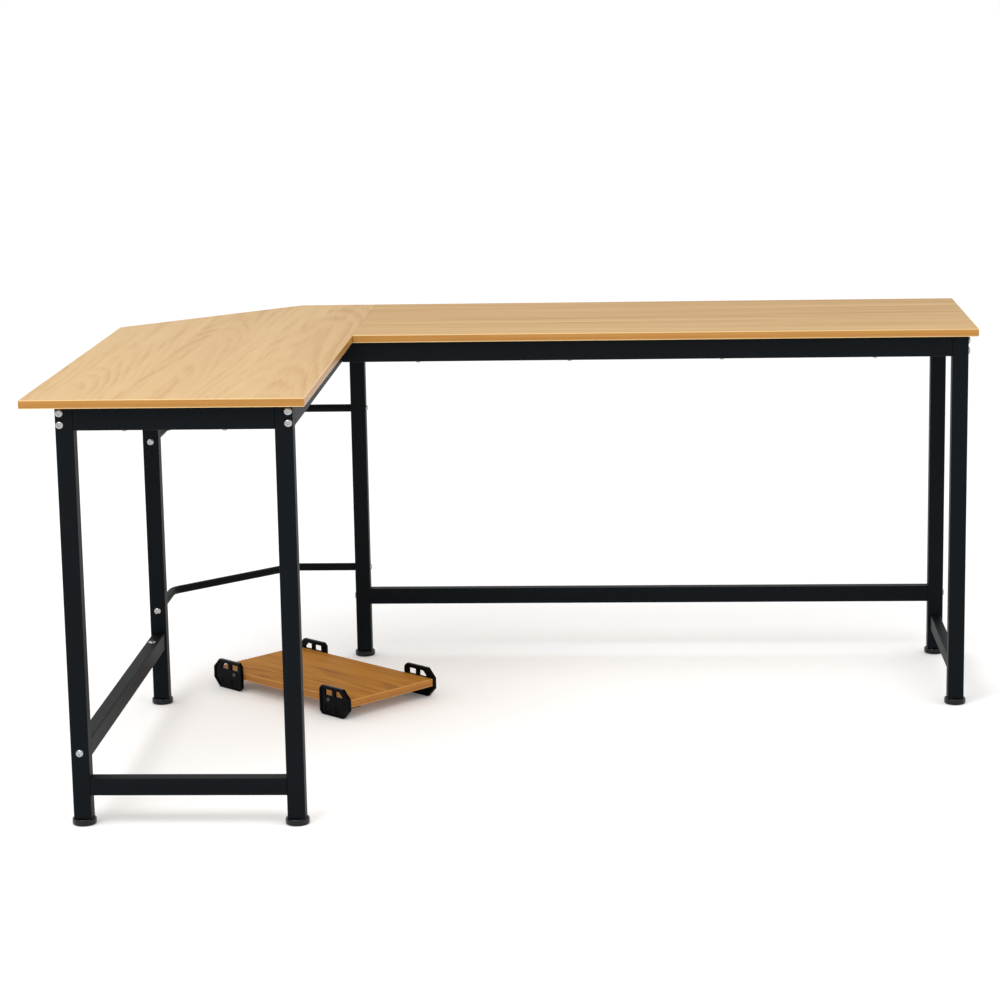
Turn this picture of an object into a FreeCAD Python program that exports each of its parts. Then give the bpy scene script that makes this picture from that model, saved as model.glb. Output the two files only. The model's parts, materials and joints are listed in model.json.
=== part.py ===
import FreeCAD, Part
import math
import os
import re
import Sketcher

# A corner desk: two boards on a frame of square tube, and a loose stand for a computer case.
# Millimetres. +Z is up and +X runs along the long main board. The user sits on the -Y side.
# The origin is on the floor, under the middle of the desk's outline.

SIZES = {
    # boards
    "desk_length": 1680,
    "desk_depth": 1250,
    "desk_height": 745,
    "main_width": 480,
    "return_width": 480,
    "board_thickness": 15,
    "band_thickness": 1,
    "corner_cut": 325,
    "seam_gap": 0.2,
    # legs and where they stand in from the edges
    "leg_size": 31,
    "tube_wall": 1.5,
    "tube_corner": 2.5,
    "front_inset": 16,
    "back_inset": 28,
    "left_inset": 57,
    "right_inset": 22,
    "end_inset": 17,
    "corner_leg_offset": 87,
    # rails
    "rail_width": 16,
    "rail_height": 40,
    "low_rail_height": 30,
    "low_rail_level": 54,
    "end_low_rail_width": 20,
    "stretcher_width": 25,
    "stretcher_height": 33,
    "stretcher_level": 113,
    # bent tubes across the cut corner
    "brace_diameter": 16,
    "brace_bend": 40,
    "brace_setback": 10,
    "brace_low_level": 192,
    "brace_high_level": 533,
    "insert_length": 18,
    # fasteners
    "bolt_diameter": 6,
    "bolt_head_diameter": 14,
    "bolt_head_height": 3.6,
    "bolt_crown_diameter": 8.4,
    "bolt_grip": 10,
    "socket_size": 4.5,
    "socket_depth": 2.2,
    "bolt_pair_spacing": 20,
    "plate_thickness": 4,
    "screw_diameter": 4,
    "screw_head_diameter": 9,
    "screw_head_height": 2.6,
    "screw_bite": 10,
    "tongue_length": 100,
    "tongue_wall": 2,
    "tongue_bolt_offset": 75,
    "seam_plate_length": 80,
    "seam_plate_width": 42,
    "seam_plate_thickness": 2,
    "seam_screw_bite": 9,
    "seam_screw_spacing": 24,
    "drill_margin": 1,
    # plugs and levelling feet
    "plug_flange": 1.5,
    "plug_depth": 4,
    "foot_plug_depth": 24,
    "stud_diameter": 8,
    "stud_length": 34,
    "pad_diameter": 42,
    "pad_height": 12,
    "pad_floor": 4,
    "pad_chamfer": 2,
    # the loose stand
    "stand_length": 408,
    "stand_width": 221,
    "stand_level": 39,
    "stand_turn": 138,
    "stand_x": -451.5,
    "stand_y": 281.5,
    "bracket_length": 86,
    "bracket_height": 59,
    "bracket_wall": 5,
    "bracket_rim": 4,
    "bracket_rim_depth": 3,
    "outer_chamfer": 18,
    "inner_chamfer": 7,
    "bracket_overrun": 2,
    "window_start": 14,
    "window_width": 20,
    "window_height": 11,
    "window_post": 10,
    "window_sill": 1,
    "window_clip": 8,
    "recess_level": 7,
    "recess_height": 13,
    "recess_depth": 1.5,
    "side_screw_shift": 24,
    "flange_width": 30,
    "flange_thickness": 4,
    "stand_screw_length": 12,
    "stand_screw_spacing": 40,
    # clearances
    "hole_clearance": 0.4,
    "press_gap": 0.1,
    "running_gap": 0.05,
    "clear_gap": 0.3,
}

# Places and lengths that follow from the sizes.
PLACES = {
    "left": "-desk_length / 2",
    "right": "desk_length / 2",
    "front": "-desk_depth / 2",
    "back": "desk_depth / 2",
    "board_base": "desk_height - board_thickness",
    "seam_line": "left + return_width",
    "main_front": "back - main_width",
    "cut_start": "desk_depth - corner_cut",
    "band_turn": "band_thickness * tan(22.5)",
    "main_length": "desk_length - return_width - seam_gap",
    "main_left": "seam_line + seam_gap",
    "seam_middle": "seam_line + seam_gap / 2",
    "tube_inside": "leg_size - 2 * tube_wall",
    # legs: the low x and low y side of each row
    "outer_leg_line": "left + left_inset",
    "inner_leg_line": "seam_line - right_inset - leg_size",
    "end_leg_line": "right - end_inset - leg_size",
    "return_leg_line": "front + front_inset",
    "main_leg_line": "main_front + front_inset",
    "corner_leg_line": "front + cut_start - corner_leg_offset - leg_size",
    "back_leg_line": "back - back_inset - leg_size",
    "leg_base": "pad_height + plug_flange",
    "leg_length": "board_base - plug_flange - leg_base",
    # rails
    "rail_base": "board_base - rail_height",
    "rail_middle": "board_base - rail_height / 2",
    "inner_rail_line": "inner_leg_line + leg_size - rail_width",
    "end_rail_line": "end_leg_line + leg_size - rail_width",
    "stretcher_inset": "(leg_size - stretcher_width) / 2",
    "stretcher_middle": "stretcher_level + stretcher_height / 2",
    # gaps between the legs
    "return_span": "inner_leg_line - outer_leg_line - leg_size",
    "main_span": "end_leg_line - inner_leg_line - leg_size",
    "side_span": "corner_leg_line - return_leg_line - leg_size",
    "inner_span": "back_leg_line - return_leg_line - leg_size",
    "end_span": "back_leg_line - main_leg_line - leg_size",
    # bent tubes
    "brace_rise": "cut_start - brace_setback + left_inset + leg_size / 2 + front - corner_leg_line - leg_size",
    "brace_run": "back_leg_line - corner_leg_line - leg_size / 2 - brace_rise",
    "brace_reach": "inner_leg_line - outer_leg_line - leg_size / 2",
    "brace_bend_start": "brace_bend * tan(22.5)",
    # fasteners
    "bolt_hole": "bolt_diameter + hole_clearance",
    "screw_hole": "screw_diameter + hole_clearance",
    "thread_hole": "bolt_diameter + 2 * running_gap",
    "bolt_length": "leg_size + bolt_grip",
    "top_screw_length": "rail_height + screw_bite",
    # the stand
    "board_under_stand": "stand_level - board_thickness",
    "bracket_inner": "stand_length / 2 + bracket_overrun - bracket_length",
    "bracket_face": "stand_width / 2 + bracket_wall",
    "window_base": "stand_level + window_sill",
    "window_top": "window_base + window_height",
    "recess_top": "recess_level + recess_height",
    "second_window": "window_start + window_width + window_post",
    "window_end": "second_window + window_width",
    "side_screw_level": "board_under_stand + board_thickness / 2",
}

ALONG = {
    "X": FreeCAD.Rotation(FreeCAD.Vector(1, 1, 1), 120),
    "Y": FreeCAD.Rotation(FreeCAD.Vector(1, 1, 1), 240),
    "Z": FreeCAD.Rotation(),
}

HEADINGS = {
    "+X": FreeCAD.Rotation(FreeCAD.Vector(0, 1, 0), 90),
    "-X": FreeCAD.Rotation(FreeCAD.Vector(0, 1, 0), -90),
    "+Y": FreeCAD.Rotation(FreeCAD.Vector(1, 0, 0), -90),
    "-Y": FreeCAD.Rotation(FreeCAD.Vector(1, 0, 0), 90),
    "+Z": FreeCAD.Rotation(),
    "-Z": FreeCAD.Rotation(FreeCAD.Vector(1, 0, 0), 180),
}

doc = FreeCAD.newDocument("corner_desk")
sheet = doc.addObject("Spreadsheet::Sheet", "sizes")
pieces = []


def fill_sheet():
    for row, (name, value) in enumerate(SIZES.items(), start=1):
        sheet.set(f"A{row}", name)
        sheet.set(f"B{row}", str(value))
        sheet.setAlias(f"B{row}", name)
    doc.recompute()


def spell(text):
    """Turn named sizes and places into an expression on the sheet."""
    def word(match):
        name = match.group(0)
        if name in SIZES:
            return "sizes." + name
        if name in PLACES:
            return "(" + spell(PLACES[name]) + ")"
        return name
    return re.sub(r"[a-z][a-z_]*", word, text)


def number(text):
    return float(sheet.evalExpression(spell(text)))


def bind(thing, name, text):
    thing.setExpression(name, spell(text))


def place(thing, x, y, z, turn=FreeCAD.Rotation()):
    thing.Placement = FreeCAD.Placement(FreeCAD.Vector(number(x), number(y), number(z)), turn)
    bind(thing, "Placement.Base.x", x)
    bind(thing, "Placement.Base.y", y)
    bind(thing, "Placement.Base.z", z)


def keep(thing, label):
    """Name a finished sub-part, which gives its file its name."""
    thing.Label = label
    pieces.append(thing)
    return thing


# ---- sketches and features ----

def plane_of(body, role):
    return next(item for item in body.Origin.OriginFeatures if item.Role == role)


def new_sketch(body, role, offset=None):
    sketch = body.newObject("Sketcher::SketchObject", body.Name + "_sketch")
    sketch.AttachmentSupport = [(plane_of(body, role), "")]
    sketch.MapMode = "FlatFace"
    if offset:
        bind(sketch, "AttachmentOffset.Base.z", offset)
    return sketch


def fix_point(sketch, curve, spot, x, y):
    """Hold a point of a curve at x and y from the sketch's origin."""
    axes = {"DistanceX": -2, "DistanceY": -1}
    for kind, text in (("DistanceX", x), ("DistanceY", y)):
        if text == "0":
            sketch.addConstraint(Sketcher.Constraint("PointOnObject", curve, spot, axes[kind]))
        else:
            rule = Sketcher.Constraint(kind, -1, 1, curve, spot, number(text))
            index = sketch.addConstraint(rule)
            bind(sketch, f"Constraints[{index}]", text)


def add_loop(sketch, points):
    """A closed outline of straight lines, with every corner held by its own sizes."""
    first = sketch.GeometryCount
    count = len(points)
    spots = [FreeCAD.Vector(number(x), number(y), 0) for x, y in points]
    for index in range(count):
        sketch.addGeometry(Part.LineSegment(spots[index], spots[(index + 1) % count]), False)
    for index in range(count):
        after = first + (index + 1) % count
        sketch.addConstraint(Sketcher.Constraint("Coincident", first + index, 2, after, 1))
    for index, (x, y) in enumerate(points):
        fix_point(sketch, first + index, 1, x, y)


def add_circle(sketch, x, y, diameter):
    centre = FreeCAD.Vector(number(x), number(y), 0)
    curve = sketch.addGeometry(Part.Circle(centre, FreeCAD.Vector(0, 0, 1), number(diameter) / 2), False)
    fix_point(sketch, curve, 3, x, y)
    index = sketch.addConstraint(Sketcher.Constraint("Diameter", curve, number(diameter)))
    bind(sketch, f"Constraints[{index}]", diameter)


def rectangle(low_x, low_y, high_x, high_y):
    return [(low_x, low_y), (high_x, low_y), (high_x, high_y), (low_x, high_y)]


def pad(body, sketch, length, reverse=False):
    feature = body.newObject("PartDesign::Pad", body.Name + "_pad")
    feature.Profile = sketch
    bind(feature, "Length", length)
    feature.Reversed = reverse
    doc.recompute()
    return feature


def drill_through(body, role, holes):
    """Round holes right through the body, both ways from one of its own planes."""
    sketch = new_sketch(body, role)
    for x, y, diameter in holes:
        add_circle(sketch, x, y, diameter)
    feature = body.newObject("PartDesign::Pocket", body.Name + "_holes")
    feature.Profile = sketch
    feature.Type = "ThroughAll"
    feature.SideType = "Symmetric"
    doc.recompute()


def sink(body, sketch, depth):
    """Cut a shape into the body, against the sketch's own direction."""
    feature = body.newObject("PartDesign::Pocket", body.Name + "_recess")
    feature.Profile = sketch
    bind(feature, "Length", depth)
    doc.recompute()


def drill_up(body, holes, depth):
    """Blind round holes in the body's underside."""
    sketch = new_sketch(body, "XY_Plane")
    for x, y, diameter in holes:
        add_circle(sketch, x, y, diameter)
    feature = body.newObject("PartDesign::Pocket", body.Name + "_pilots")
    feature.Profile = sketch
    feature.Reversed = True
    bind(feature, "Length", depth)
    doc.recompute()


def round_long_edges(body, feature, radius):
    """Round the outer corners of a padded tube."""
    box = feature.Shape.BoundBox
    names = []
    for index, edge in enumerate(feature.Shape.Edges, start=1):
        start = edge.Vertexes[0].Point
        end = edge.Vertexes[-1].Point
        upright = abs(end.z - start.z) > box.ZLength / 2
        outside = min(start.x - box.XMin, box.XMax - start.x) < 0.01
        if upright and outside:
            names.append(f"Edge{index}")
    fillet = body.newObject("PartDesign::Fillet", body.Name + "_corners")
    fillet.Base = (feature, names)
    bind(fillet, "Radius", radius)
    doc.recompute()


# ---- boards ----

def return_outline():
    """The return board's corners, inside its edge band on every side but the seam."""
    return [
        ("band_thickness", "band_thickness"),
        ("return_width - band_thickness", "band_thickness"),
        ("return_width - band_thickness", "desk_depth - main_width"),
        ("return_width", "desk_depth - main_width"),
        ("return_width", "desk_depth - band_thickness"),
        ("corner_cut + band_turn", "desk_depth - band_thickness"),
        ("band_thickness", "cut_start - band_turn"),
    ]


def main_outline():
    return rectangle("0", "band_thickness", "main_length - band_thickness", "main_width - band_thickness")


def board(label, outline, x, y, pilots):
    body = doc.addObject("PartDesign::Body", label)
    sketch = new_sketch(body, "XY_Plane")
    add_loop(sketch, outline)
    pad(body, sketch, "board_thickness")
    holes = [(f"({hole_x}) - ({x})", f"({hole_y}) - ({y})", "screw_diameter") for hole_x, hole_y in pilots]
    drill_up(body, holes, "screw_bite")
    place(body, x, y, "board_base")
    return keep(body, label)


def edge_band(label, outline, x, y):
    body = doc.addObject("PartDesign::Body", label)
    sketch = new_sketch(body, "XY_Plane")
    add_loop(sketch, outline)
    pad(body, sketch, "board_thickness")
    place(body, x, y, "board_base")
    return keep(body, label)


def return_band_outline():
    """A strip that runs round the return board from the inner corner to the seam at the back."""
    inner = return_outline()
    return [
        ("0", "0"),
        ("return_width", "0"),
        ("return_width", "desk_depth - main_width"),
        inner[2],
        inner[1],
        inner[0],
        inner[6],
        inner[5],
        inner[4],
        ("return_width", "desk_depth"),
        ("corner_cut", "desk_depth"),
        ("0", "cut_start"),
    ]


def main_band_outline():
    return [
        ("0", "0"),
        ("main_length", "0"),
        ("main_length", "main_width"),
        ("0", "main_width"),
        ("0", "main_width - band_thickness"),
        ("main_length - band_thickness", "main_width - band_thickness"),
        ("main_length - band_thickness", "band_thickness"),
        ("0", "band_thickness"),
    ]


# ---- tubes ----

def tube(label, axis, width, height, length, at, wall="tube_wall"):
    """A square or flat tube. Its section's corner starts at the given place and runs along the axis."""
    body = doc.addObject("PartDesign::Body", label)
    section = (width, height) if axis != "Y" else (height, width)
    sketch = new_sketch(body, "XY_Plane")
    add_loop(sketch, rectangle("0", "0", section[0], section[1]))
    add_loop(sketch, rectangle(wall, wall, f"{section[0]} - {wall}", f"{section[1]} - {wall}"))
    feature = pad(body, sketch, length)
    round_long_edges(body, feature, "tube_corner")
    place(body, *at, ALONG[axis])
    return body


def drill_tube(body, axis, direction, holes):
    """Cross holes in a tube: each is a distance along it, a distance across it and a diameter."""
    roles = {
        ("X", "Z"): "XZ_Plane", ("X", "Y"): "YZ_Plane",
        ("Y", "Z"): "YZ_Plane", ("Y", "X"): "XZ_Plane",
        ("Z", "Y"): "XZ_Plane", ("Z", "X"): "YZ_Plane",
    }
    drill_through(body, roles[(axis, direction)], [(across, along, size) for along, across, size in holes])


def spread(count):
    """Even shares along a rail, half a step in from each end."""
    return [f"{2 * index + 1} / {2 * count}" for index in range(count)]


# Rails under the boards: axis, length, place, number of top screws and the board that they hold.
RAILS = {
    "return_front_rail": ("X", "return_span", ("outer_leg_line + leg_size", "return_leg_line"), 2, "return"),
    "return_left_rail": ("Y", "side_span", ("outer_leg_line", "return_leg_line + leg_size"), 3, "return"),
    "return_inner_rail": ("Y", "inner_span", ("inner_rail_line", "return_leg_line + leg_size"), 4, "return"),
    "main_front_rail": ("X", "main_span", ("inner_leg_line + leg_size", "main_leg_line"), 4, "main"),
    "main_back_rail": ("X", "main_span", ("inner_leg_line + leg_size", "back_leg_line + leg_size - rail_width"),
                       4, "main"),
    "main_end_rail": ("Y", "end_span", ("end_rail_line", "main_leg_line + leg_size"), 2, "main"),
}


def rail_screw_spots(board_name):
    """Places of the top screws that go into one board."""
    spots = []
    for axis, length, (x, y), count, holds in RAILS.values():
        if holds != board_name:
            continue
        for share in spread(count):
            along = f"({length}) * {share}"
            if axis == "X":
                spots.append((f"{x} + {along}", f"{y} + rail_width / 2"))
            else:
                spots.append((f"{x} + rail_width / 2", f"{y} + {along}"))
    return spots


def make_rails():
    for label, (axis, length, (x, y), count, _) in RAILS.items():
        body = tube(label, axis, "rail_width", "rail_height", length, (x, y, "rail_base"))
        holes = [(f"({length}) * {share}", "rail_width / 2", "screw_hole") for share in spread(count)]
        drill_tube(body, axis, "Z", holes)
        if label == "return_inner_rail":
            along = "main_leg_line - return_leg_line - leg_size + rail_width / 2"
            pair = [(along, height, "bolt_hole") for height in pair_heights("rail_height / 2")]
            drill_tube(body, axis, "X", pair)
        keep(body, label)


def pair_heights(middle):
    return [f"{middle} - bolt_pair_spacing / 2", f"{middle} + bolt_pair_spacing / 2"]


# ---- legs ----

# Each leg's low corner: its x and its y.
LEGS = {
    "return_left_leg": ("outer_leg_line", "return_leg_line"),
    "return_right_leg": ("inner_leg_line", "return_leg_line"),
    "corner_left_leg": ("outer_leg_line", "corner_leg_line"),
    "corner_back_leg": ("inner_leg_line", "back_leg_line"),
    "main_back_leg": ("end_leg_line", "back_leg_line"),
    "main_front_leg": ("end_leg_line", "main_leg_line"),
}

HALF_LEG = "leg_size / 2"
OUTER = "rail_width / 2"
INNER = "leg_size - rail_width / 2"

# Bolts through the legs: leg, heading, distance across the leg's face, height of one bolt or of a pair.
LEG_BOLTS = [
    ("return_left_leg", "+Y", HALF_LEG, ["stretcher_middle"]),
    ("return_left_leg", "+Y", OUTER, pair_heights("rail_middle")),
    ("return_right_leg", "+Y", INNER, pair_heights("rail_middle")),
    ("corner_left_leg", "+Y", HALF_LEG, ["brace_low_level", "brace_high_level"]),
    ("corner_left_leg", "-Y", OUTER, pair_heights("rail_middle")),
    ("corner_back_leg", "-X", HALF_LEG, ["brace_low_level", "brace_high_level"]),
    ("corner_back_leg", "+X", HALF_LEG, ["stretcher_middle"]),
    ("corner_back_leg", "+X", INNER, pair_heights("rail_middle")),
    ("corner_back_leg", "-Y", INNER, pair_heights("rail_middle")),
    ("main_back_leg", "-X", HALF_LEG, ["stretcher_middle"]),
    ("main_back_leg", "-X", INNER, pair_heights("rail_middle")),
    ("main_front_leg", "-X", OUTER, pair_heights("rail_middle")),
]


def make_legs():
    for label, (x, y) in LEGS.items():
        body = tube(label, "Z", "leg_size", "leg_size", "leg_length", (x, y, "leg_base"))
        for direction in ("X", "Y"):
            holes = []
            for leg, heading, across, heights in LEG_BOLTS:
                if leg == label and heading[1] == direction:
                    holes += [(f"{height} - leg_base", across, "bolt_hole") for height in heights]
            if holes:
                drill_tube(body, "Z", direction, holes)
        keep(body, label)


def make_low_rails():
    keep(tube("return_low_rail", "X", "leg_size", "low_rail_height", "return_span",
              ("outer_leg_line + leg_size", "return_leg_line", "low_rail_level")), "return_low_rail")
    keep(tube("main_end_low_rail", "Y", "end_low_rail_width", "low_rail_height", "end_span",
              ("end_leg_line + (leg_size - end_low_rail_width) / 2", "main_leg_line + leg_size",
               "low_rail_level")), "main_end_low_rail")
    left = tube("left_stretcher", "Y", "stretcher_width", "stretcher_height", "side_span",
                ("outer_leg_line + stretcher_inset", "return_leg_line + leg_size", "stretcher_level"))
    drill_tube(left, "Y", "Z", [("side_span - tongue_bolt_offset", "stretcher_width / 2", "bolt_hole")])
    keep(left, "left_stretcher")
    keep(tube("back_stretcher", "X", "stretcher_width", "stretcher_height", "main_span",
              ("inner_leg_line + leg_size", "back_leg_line + stretcher_inset", "stretcher_level")),
         "back_stretcher")
    tongue = tube("stretcher_tongue", "Y", "stretcher_width - 2 * tube_wall - 2 * clear_gap",
                  "stretcher_height - 2 * tube_wall - 2 * clear_gap", "tongue_length",
                  ("outer_leg_line + stretcher_inset + tube_wall + clear_gap",
                   "corner_leg_line - tongue_length",
                   "stretcher_level + tube_wall + clear_gap"), wall="tongue_wall")
    drill_tube(tongue, "Y", "Z", [("tongue_length - tongue_bolt_offset",
                                   "stretcher_width / 2 - tube_wall - clear_gap", "thread_hole")])
    keep(tongue, "stretcher_tongue")


# ---- bent tubes ----

def brace_path():
    """Corners of the bent tube's centre line, seen from above: out, across the corner and along."""
    start = FreeCAD.Vector(0, 0, 0)
    first = FreeCAD.Vector(0, number("brace_rise"), 0)
    second = first + FreeCAD.Vector(number("brace_run"), number("brace_run"), 0)
    end = FreeCAD.Vector(number("brace_reach"), second.y, 0)
    return start, first, second, end


def add_brace_route(sketch):
    start, first, second, end = brace_path()
    radius = number("brace_bend")
    back_off = number("brace_bend_start")
    slope = FreeCAD.Vector(1, 1, 0).normalize()
    bend_in = first - FreeCAD.Vector(0, back_off, 0)
    bend_out = first + slope * back_off
    turn_in = second - slope * back_off
    turn_out = second + FreeCAD.Vector(back_off, 0, 0)
    first_centre = bend_in + FreeCAD.Vector(radius, 0, 0)
    second_centre = turn_out - FreeCAD.Vector(0, radius, 0)
    sketch.addGeometry(Part.LineSegment(start, bend_in), False)
    sketch.addGeometry(bend_arc(bend_in, bend_out, first_centre, radius), False)
    sketch.addGeometry(Part.LineSegment(bend_out, turn_in), False)
    sketch.addGeometry(bend_arc(turn_in, turn_out, second_centre, radius), False)
    sketch.addGeometry(Part.LineSegment(turn_out, end), False)
    fix_point(sketch, 0, 1, "0", "0")
    fix_point(sketch, 0, 2, "0", "brace_rise - brace_bend_start")
    fix_point(sketch, 2, 1, "brace_bend_start * cos(45)", "brace_rise + brace_bend_start * sin(45)")
    fix_point(sketch, 2, 2, "brace_run - brace_bend_start * cos(45)",
              "brace_rise + brace_run - brace_bend_start * sin(45)")
    fix_point(sketch, 4, 1, "brace_run + brace_bend_start", "brace_rise + brace_run")
    fix_point(sketch, 4, 2, "brace_reach", "brace_rise + brace_run")
    join_arc(sketch, 1, 0, 2)
    join_arc(sketch, 3, 2, 4)


def bend_arc(start, end, centre, radius):
    """One bend of the tube: the arc from start to end about the centre."""
    middle = (start + end) * 0.5
    return Part.Arc(start, centre + (middle - centre).normalize() * radius, end)


def join_arc(sketch, arc, before, after):
    """Join an arc's ends to the straight runs on both sides of it and set its radius."""
    start = sketch.Geometry[before].EndPoint
    first_spot = 1 if sketch.getPoint(arc, 1).distanceToPoint(start) < 0.01 else 2
    sketch.addConstraint(Sketcher.Constraint("Coincident", arc, first_spot, before, 2))
    sketch.addConstraint(Sketcher.Constraint("Coincident", arc, 3 - first_spot, after, 1))
    index = sketch.addConstraint(Sketcher.Constraint("Radius", arc, number("brace_bend")))
    bind(sketch, f"Constraints[{index}]", "brace_bend")


def make_brace(label, level):
    body = doc.addObject("PartDesign::Body", label)
    route = new_sketch(body, "XY_Plane")
    add_brace_route(route)
    section = new_sketch(body, "XZ_Plane")
    add_circle(section, "0", "0", "brace_diameter")
    add_circle(section, "0", "0", "brace_diameter - 2 * tube_wall")
    doc.recompute()
    pipe = body.newObject("PartDesign::AdditivePipe", label + "_pipe")
    pipe.Profile = section
    pipe.Spine = (route, [f"Edge{index}" for index in range(1, 6)])
    doc.recompute()
    place(body, f"outer_leg_line + {HALF_LEG}", "corner_leg_line + leg_size", level)
    return keep(body, label)


# ---- fasteners and inserts ----

def cylinder(diameter, length):
    item = doc.addObject("Part::Cylinder", "cylinder")
    bind(item, "Radius", f"({diameter}) / 2")
    bind(item, "Height", length)
    return item


def group(label, items):
    """Identical pieces kept as separate solids in one sub-part."""
    compound = doc.addObject("Part::Compound", label)
    compound.Links = items
    return keep(compound, label)


def bolt(at, heading, length):
    """A button-head bolt with a hexagon socket. The underside of its head is at the given place."""
    shank = cylinder("bolt_diameter", length)
    head = doc.addObject("Part::Cone", "bolt_head")
    bind(head, "Radius1", "bolt_crown_diameter / 2")
    bind(head, "Radius2", "bolt_head_diameter / 2")
    bind(head, "Height", "bolt_head_height")
    bind(head, "Placement.Base.z", "-bolt_head_height")
    whole = doc.addObject("Part::Fuse", "bolt_blank")
    whole.Base = head
    whole.Tool = shank
    socket = doc.addObject("Part::Prism", "bolt_socket")
    socket.Polygon = 6
    bind(socket, "Circumradius", "socket_size / 2 / cos(30)")
    bind(socket, "Height", "socket_depth")
    bind(socket, "Placement.Base.z", "-bolt_head_height")
    cut = doc.addObject("Part::Cut", "bolt")
    cut.Base = whole
    cut.Tool = socket
    place(cut, *at, HEADINGS[heading])
    return cut


def leg_bolt_start(leg, heading, across, height):
    """The spot on a leg's outside where a bolt's head rests."""
    x, y = LEGS[leg]
    starts = {
        "+X": (x, f"{y} + {across}"),
        "-X": (f"{x} + leg_size", f"{y} + {across}"),
        "+Y": (f"{x} + {across}", y),
        "-Y": (f"{x} + {across}", f"{y} + leg_size"),
    }
    return (*starts[heading], height)


def make_bolts():
    bolts = []
    for leg, heading, across, heights in LEG_BOLTS:
        for height in heights:
            bolts.append(bolt(leg_bolt_start(leg, heading, across, height), heading, "bolt_length"))
    group("frame_bolts", bolts)
    rail_bolts = []
    for height in pair_heights("rail_middle"):
        start = ("inner_rail_line", f"main_leg_line + {OUTER}", height)
        rail_bolts.append(bolt(start, "+X", "rail_width + bolt_grip"))
    group("beam_bolts", rail_bolts)
    top = ("outer_leg_line + leg_size / 2", "corner_leg_line - tongue_bolt_offset",
           "stretcher_level + stretcher_height")
    keep(bolt(top, "-Z", "stretcher_height / 2"), "stretcher_bolt")


def end_plate(width, height, at, axis, holes):
    """A threaded plate that closes a tube's end. Its own X, Y and Z lie along the desk's."""
    body = doc.addObject("Part::Box", "end_plate")
    sizes = {"X": ("plate_thickness", width), "Y": (width, "plate_thickness")}[axis]
    bind(body, "Length", sizes[0])
    bind(body, "Width", sizes[1])
    bind(body, "Height", height)
    place(body, *at)
    x, y, z = at
    result = body
    for across, up in holes:
        hole = cylinder("thread_hole", "plate_thickness")
        if axis == "X":
            place(hole, x, f"{y} + {across}", f"{z} + {up}", HEADINGS["+X"])
        else:
            place(hole, f"{x} + {across}", y, f"{z} + {up}", HEADINGS["+Y"])
        cut = doc.addObject("Part::Cut", "tapped_plate")
        cut.Base = result
        cut.Tool = hole
        result = cut
    return result


def plates_for(axis, length, x, y, base, width, height, pair, ends):
    """The plates at the chosen ends of one tube."""
    inner_width = f"{width} - 2 * tube_wall - 2 * press_gap"
    inner_height = f"{height} - 2 * tube_wall - 2 * press_gap"
    middle = f"({inner_height}) / 2"
    heights = pair_heights(middle) if pair else [middle]
    holes = [(f"({inner_width}) / 2", up) for up in heights]
    plates = []
    for end in ends:
        shift = "0" if end == "start" else f"{length} - plate_thickness"
        if axis == "X":
            at = (f"{x} + {shift}", f"{y} + tube_wall + press_gap", f"{base} + tube_wall + press_gap")
        else:
            at = (f"{x} + tube_wall + press_gap", f"{y} + {shift}", f"{base} + tube_wall + press_gap")
        plates.append(end_plate(inner_width, inner_height, at, axis, holes))
    return plates


def make_end_plates():
    plates = []
    for label in ("return_left_rail", "return_inner_rail", "main_front_rail", "main_back_rail"):
        axis, length, (x, y), _, _ = RAILS[label]
        plates += plates_for(axis, length, x, y, "rail_base", "rail_width", "rail_height", True,
                             ("start", "end"))
    group("top_rail_end_plates", plates)
    left = plates_for("Y", "side_span", "outer_leg_line + stretcher_inset", "return_leg_line + leg_size",
                      "stretcher_level", "stretcher_width", "stretcher_height", False, ("start",))
    back = plates_for("X", "main_span", "inner_leg_line + leg_size", "back_leg_line + stretcher_inset",
                      "stretcher_level", "stretcher_width", "stretcher_height", False, ("start", "end"))
    group("stretcher_end_plates", left + back)


def make_brace_inserts():
    """Threaded plugs pressed into both ends of each bent tube."""
    inserts = []
    for level in ("brace_low_level", "brace_high_level"):
        start = (f"outer_leg_line + {HALF_LEG}", "corner_leg_line + leg_size", level)
        end = ("inner_leg_line", f"back_leg_line + {HALF_LEG}", level)
        for at, heading in ((start, "+Y"), (end, "-X")):
            plug = cylinder("brace_diameter - 2 * tube_wall - 2 * press_gap", "insert_length")
            thread = cylinder("thread_hole", "insert_length")
            insert = doc.addObject("Part::Cut", "brace_insert")
            insert.Base = plug
            insert.Tool = thread
            place(insert, *at, HEADINGS[heading])
            inserts.append(insert)
    group("brace_inserts", inserts)


def pan_screw(at, turn, length):
    """A pan-head screw. The underside of its head is at the given place, and it points along the turned Z."""
    shank = cylinder("screw_diameter", length)
    head = cylinder("screw_head_diameter", "screw_head_height")
    bind(head, "Placement.Base.z", "-screw_head_height")
    whole = doc.addObject("Part::Fuse", "screw")
    whole.Base = head
    whole.Tool = shank
    place(whole, *at, turn)
    return whole


def make_top_screws():
    spots = rail_screw_spots("return") + rail_screw_spots("main")
    group("top_screws", [pan_screw((x, y, "rail_base"), HEADINGS["+Z"], "top_screw_length") for x, y in spots])


# ---- the seam ----

SEAM_SHARES = ("1 / 3", "4 / 5")


def seam_plate_middle(share):
    return f"main_leg_line + rail_width + (main_width - front_inset - back_inset - rail_width * 2) * {share}"


def seam_screw_spots(board_name):
    side = "-" if board_name == "return" else "+"
    spots = []
    for share in SEAM_SHARES:
        for step in ("-", "+"):
            along = f"{seam_plate_middle(share)} {step} seam_screw_spacing"
            spots.append((f"seam_middle {side} seam_plate_width / 4", along))
    return spots


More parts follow.
